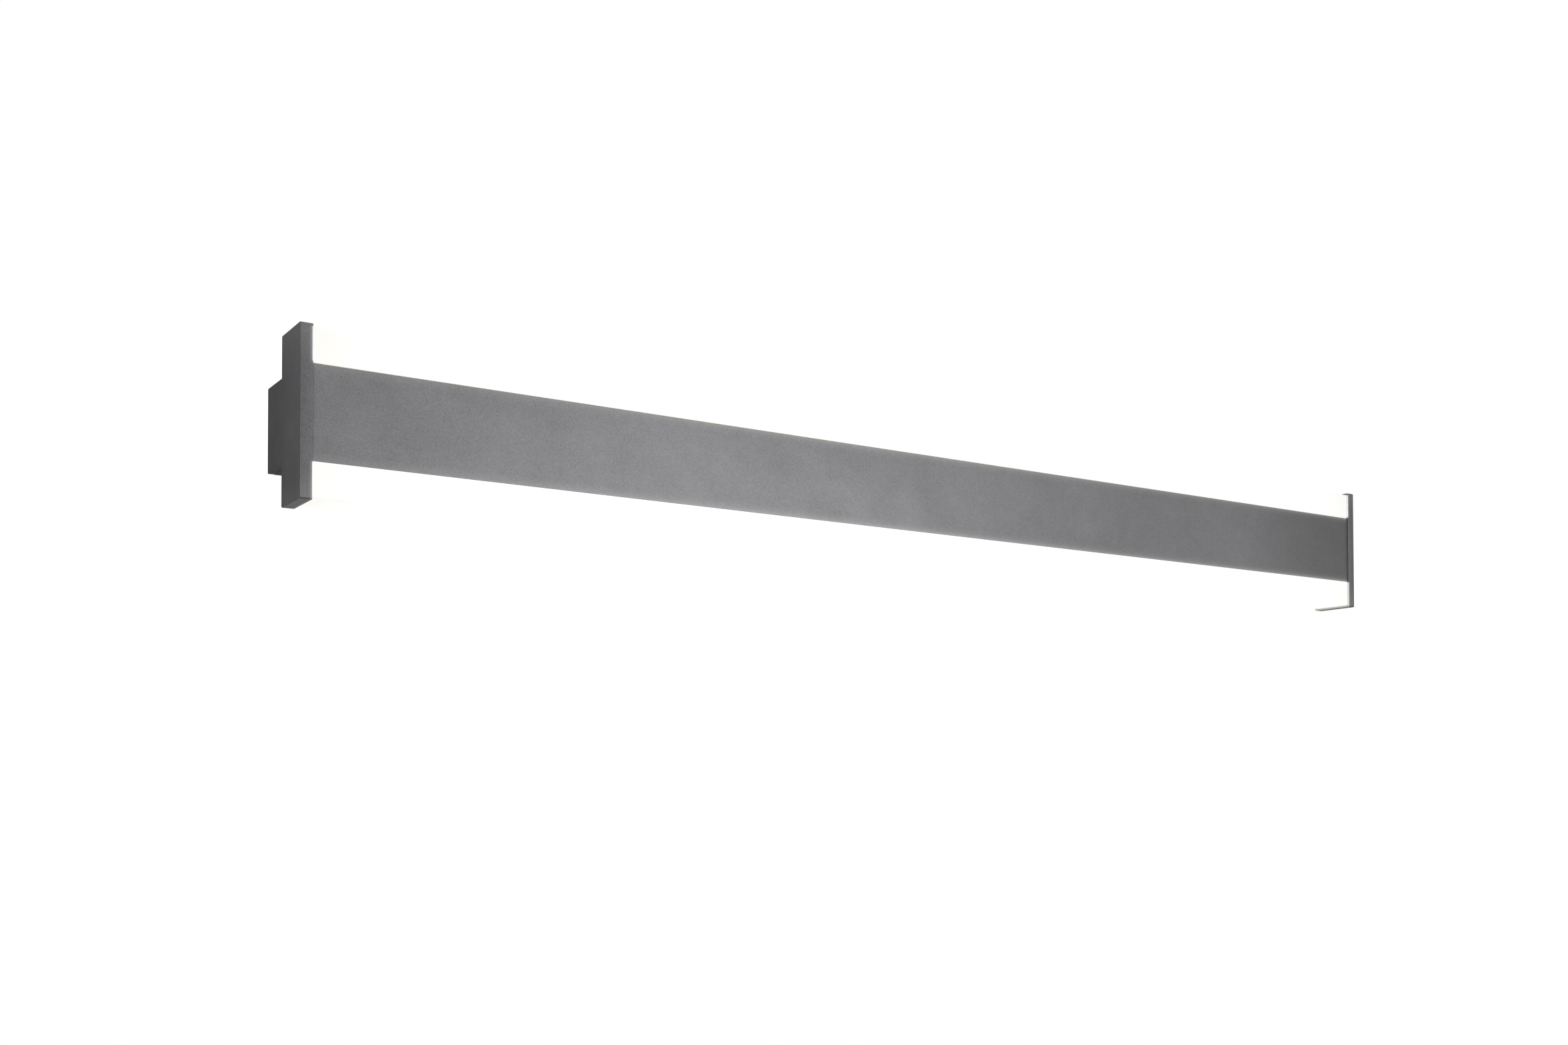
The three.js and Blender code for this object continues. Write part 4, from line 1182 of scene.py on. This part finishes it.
for side, sign in SIDES:
    end_plate(side, sign)
for level, sign in LEVELS:
    diffuser(level, sign)
    light_board(level, sign)
front_band()
rear_housing()
core_profile()
wall_plate()
cable_grommet()
lead_bush()
light_driver()
terminal_block()
for pole in POLES:
    lever(pole)
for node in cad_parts:
    if "screw" in node:
        screw(node)
kept_node("earth_lug", zinc)
kept_node("lever_pin", zinc)
kept_node("live_lead", brown_insulation)
kept_node("neutral_lead", blue_insulation)
kept_node("earth_lead", earth_insulation)
kept_node("board_lead_upper", white_insulation)
kept_node("board_lead_lower", white_insulation)


# Camera: nearly level, with the lens shifted up as in the photograph's framing
IMAGE_WIDTH, IMAGE_HEIGHT = 2352, 1568
FOCAL_PIXELS = 2400.22
LENS_ROW = 1151.24
SENSOR_MM = 36
CAMERA_PLACE = (-0.78724, -1.03487, -0.23987)
CAMERA_TURN = -33.4595
CAMERA_TILT = 1.3265
CAMERA_ROLL = -0.1283

camera_data = bpy.data.cameras.new("camera")
camera_data.sensor_width = SENSOR_MM
camera_data.lens = FOCAL_PIXELS / IMAGE_WIDTH * SENSOR_MM
camera_data.shift_y = (LENS_ROW - IMAGE_HEIGHT / 2) / IMAGE_WIDTH
camera = bpy.data.objects.new("camera", camera_data)
camera.location = CAMERA_PLACE
turns = ((CAMERA_TURN, "Z"), (90 + CAMERA_TILT, "X"), (CAMERA_ROLL, "Z"))
aim = Matrix.Identity(3)
for degrees, axis in turns:
    aim = aim @ Matrix.Rotation(math.radians(degrees), 3, axis)
camera.rotation_euler = aim.to_euler()
bpy.context.scene.collection.objects.link(camera)
bpy.context.scene.camera = camera


# Light: each lamp's place, the point that it faces, its size and its watts
LAMPS = {
    "key": ((-0.18, -0.46, -0.23), (-0.16, 0, 0), (0.32, 0.22), 3.75),
    "right_fill": ((0.85, -0.9, -0.45), (0.35, 0, 0), (0.6, 0.4), 9.3),
    "left_fill": ((-0.8, -0.25, 0.45), (-0.5, -0.04, 0), (0.3, 0.3), 1.7),
    "top": ((0.3, -0.3, 1.9), (0, 0, 0), (1.6, 1.2), 12),
    "back": ((0.4, 2, 0.9), (0, 0, 0), (1.8, 1.2), 42),
}
AMBIENT = 0.19
FLOOR_DROP = 0.9
FLOOR_RADIUS = 9
FLOOR_SIDES = 96
FADE_START, FADE_END = 0.7, 2.4


def softbox(name, place, aim, size, watts):
    """A rectangular lamp that the camera doesn't see."""
    data = bpy.data.lights.new(name, "AREA")
    data.shape = "RECTANGLE"
    data.size, data.size_y = size
    data.energy = watts
    lamp = bpy.data.objects.new(name, data)
    lamp.location = place
    lamp.rotation_euler = (Vector(aim) - Vector(place)).to_track_quat("-Z", "Y").to_euler()
    lamp.visible_camera = False
    bpy.context.scene.collection.objects.link(lamp)


def seen_white(tree):
    """1 on a ray from the camera, or a reflected or refracted one, else 0."""
    path = tree.nodes.new("ShaderNodeLightPath")
    total = path.outputs["Is Camera Ray"]
    for name in ("Is Glossy Ray", "Is Transmission Ray"):
        larger = tree.nodes.new("ShaderNodeMath")
        larger.operation = "MAXIMUM"
        tree.links.new(total, larger.inputs[0])
        tree.links.new(path.outputs[name], larger.inputs[1])
        total = larger.outputs[0]
    return total


def studio_world():
    """White where it is seen, and a dimmer even light on matt surfaces."""
    world = bpy.data.worlds.new("studio")
    world.use_nodes = True
    tree = world.node_tree
    background = tree.nodes["Background"]
    background.inputs["Color"].default_value = colour(1, 1, 1)
    strength = tree.nodes.new("ShaderNodeMapRange")
    strength.inputs["To Min"].default_value = AMBIENT
    tree.links.new(seen_white(tree), strength.inputs["Value"])
    tree.links.new(strength.outputs[0], background.inputs["Strength"])
    bpy.context.scene.world = world


def pale_floor():
    """A matt floor that fades into the white ground further out."""
    look = Look("floor")
    tone = look.spread(look.noise(3, detail=4))
    pale = look.blend(tone, colour(0.85, 0.85, 0.84), colour(0.87, 0.87, 0.86))
    matt = look.node("BsdfDiffuse", {"Color": pale})
    white = look.node("Emission", {"Color": colour(1, 1, 1), "Strength": 1.0})
    radius = look.node("VectorMath", {"Vector": look.coordinates}, operation="LENGTH").outputs["Value"]
    fade = look.remap(radius, FADE_START, FADE_END, smooth=True)
    mixed = look.node("MixShader")
    look.feed(mixed.inputs[0], look.math("MULTIPLY", fade, seen_white(look.tree)))
    look.feed(mixed.inputs[1], matt.outputs[0])
    look.feed(mixed.inputs[2], white.outputs[0])
    look.feed(look.output.inputs["Surface"], mixed.outputs[0])
    mesh = bmesh.new()
    bmesh.ops.create_circle(mesh, cap_ends=True, segments=FLOOR_SIDES, radius=FLOOR_RADIUS)
    floor = object_of("floor", mesh)
    floor.location.z = -FLOOR_DROP
    floor.data.materials.append(look.material)
    floor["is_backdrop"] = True


for name, setting in LAMPS.items():
    softbox(name, *setting)
studio_world()
pale_floor()
bpy.context.scene.view_settings.view_transform = "Standard"

bpy.context.view_layer.update()
sizes = {"cad": cad_box, "visual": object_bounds()}
{name: [list(corner) for corner in box] for name, box in sizes.items()}
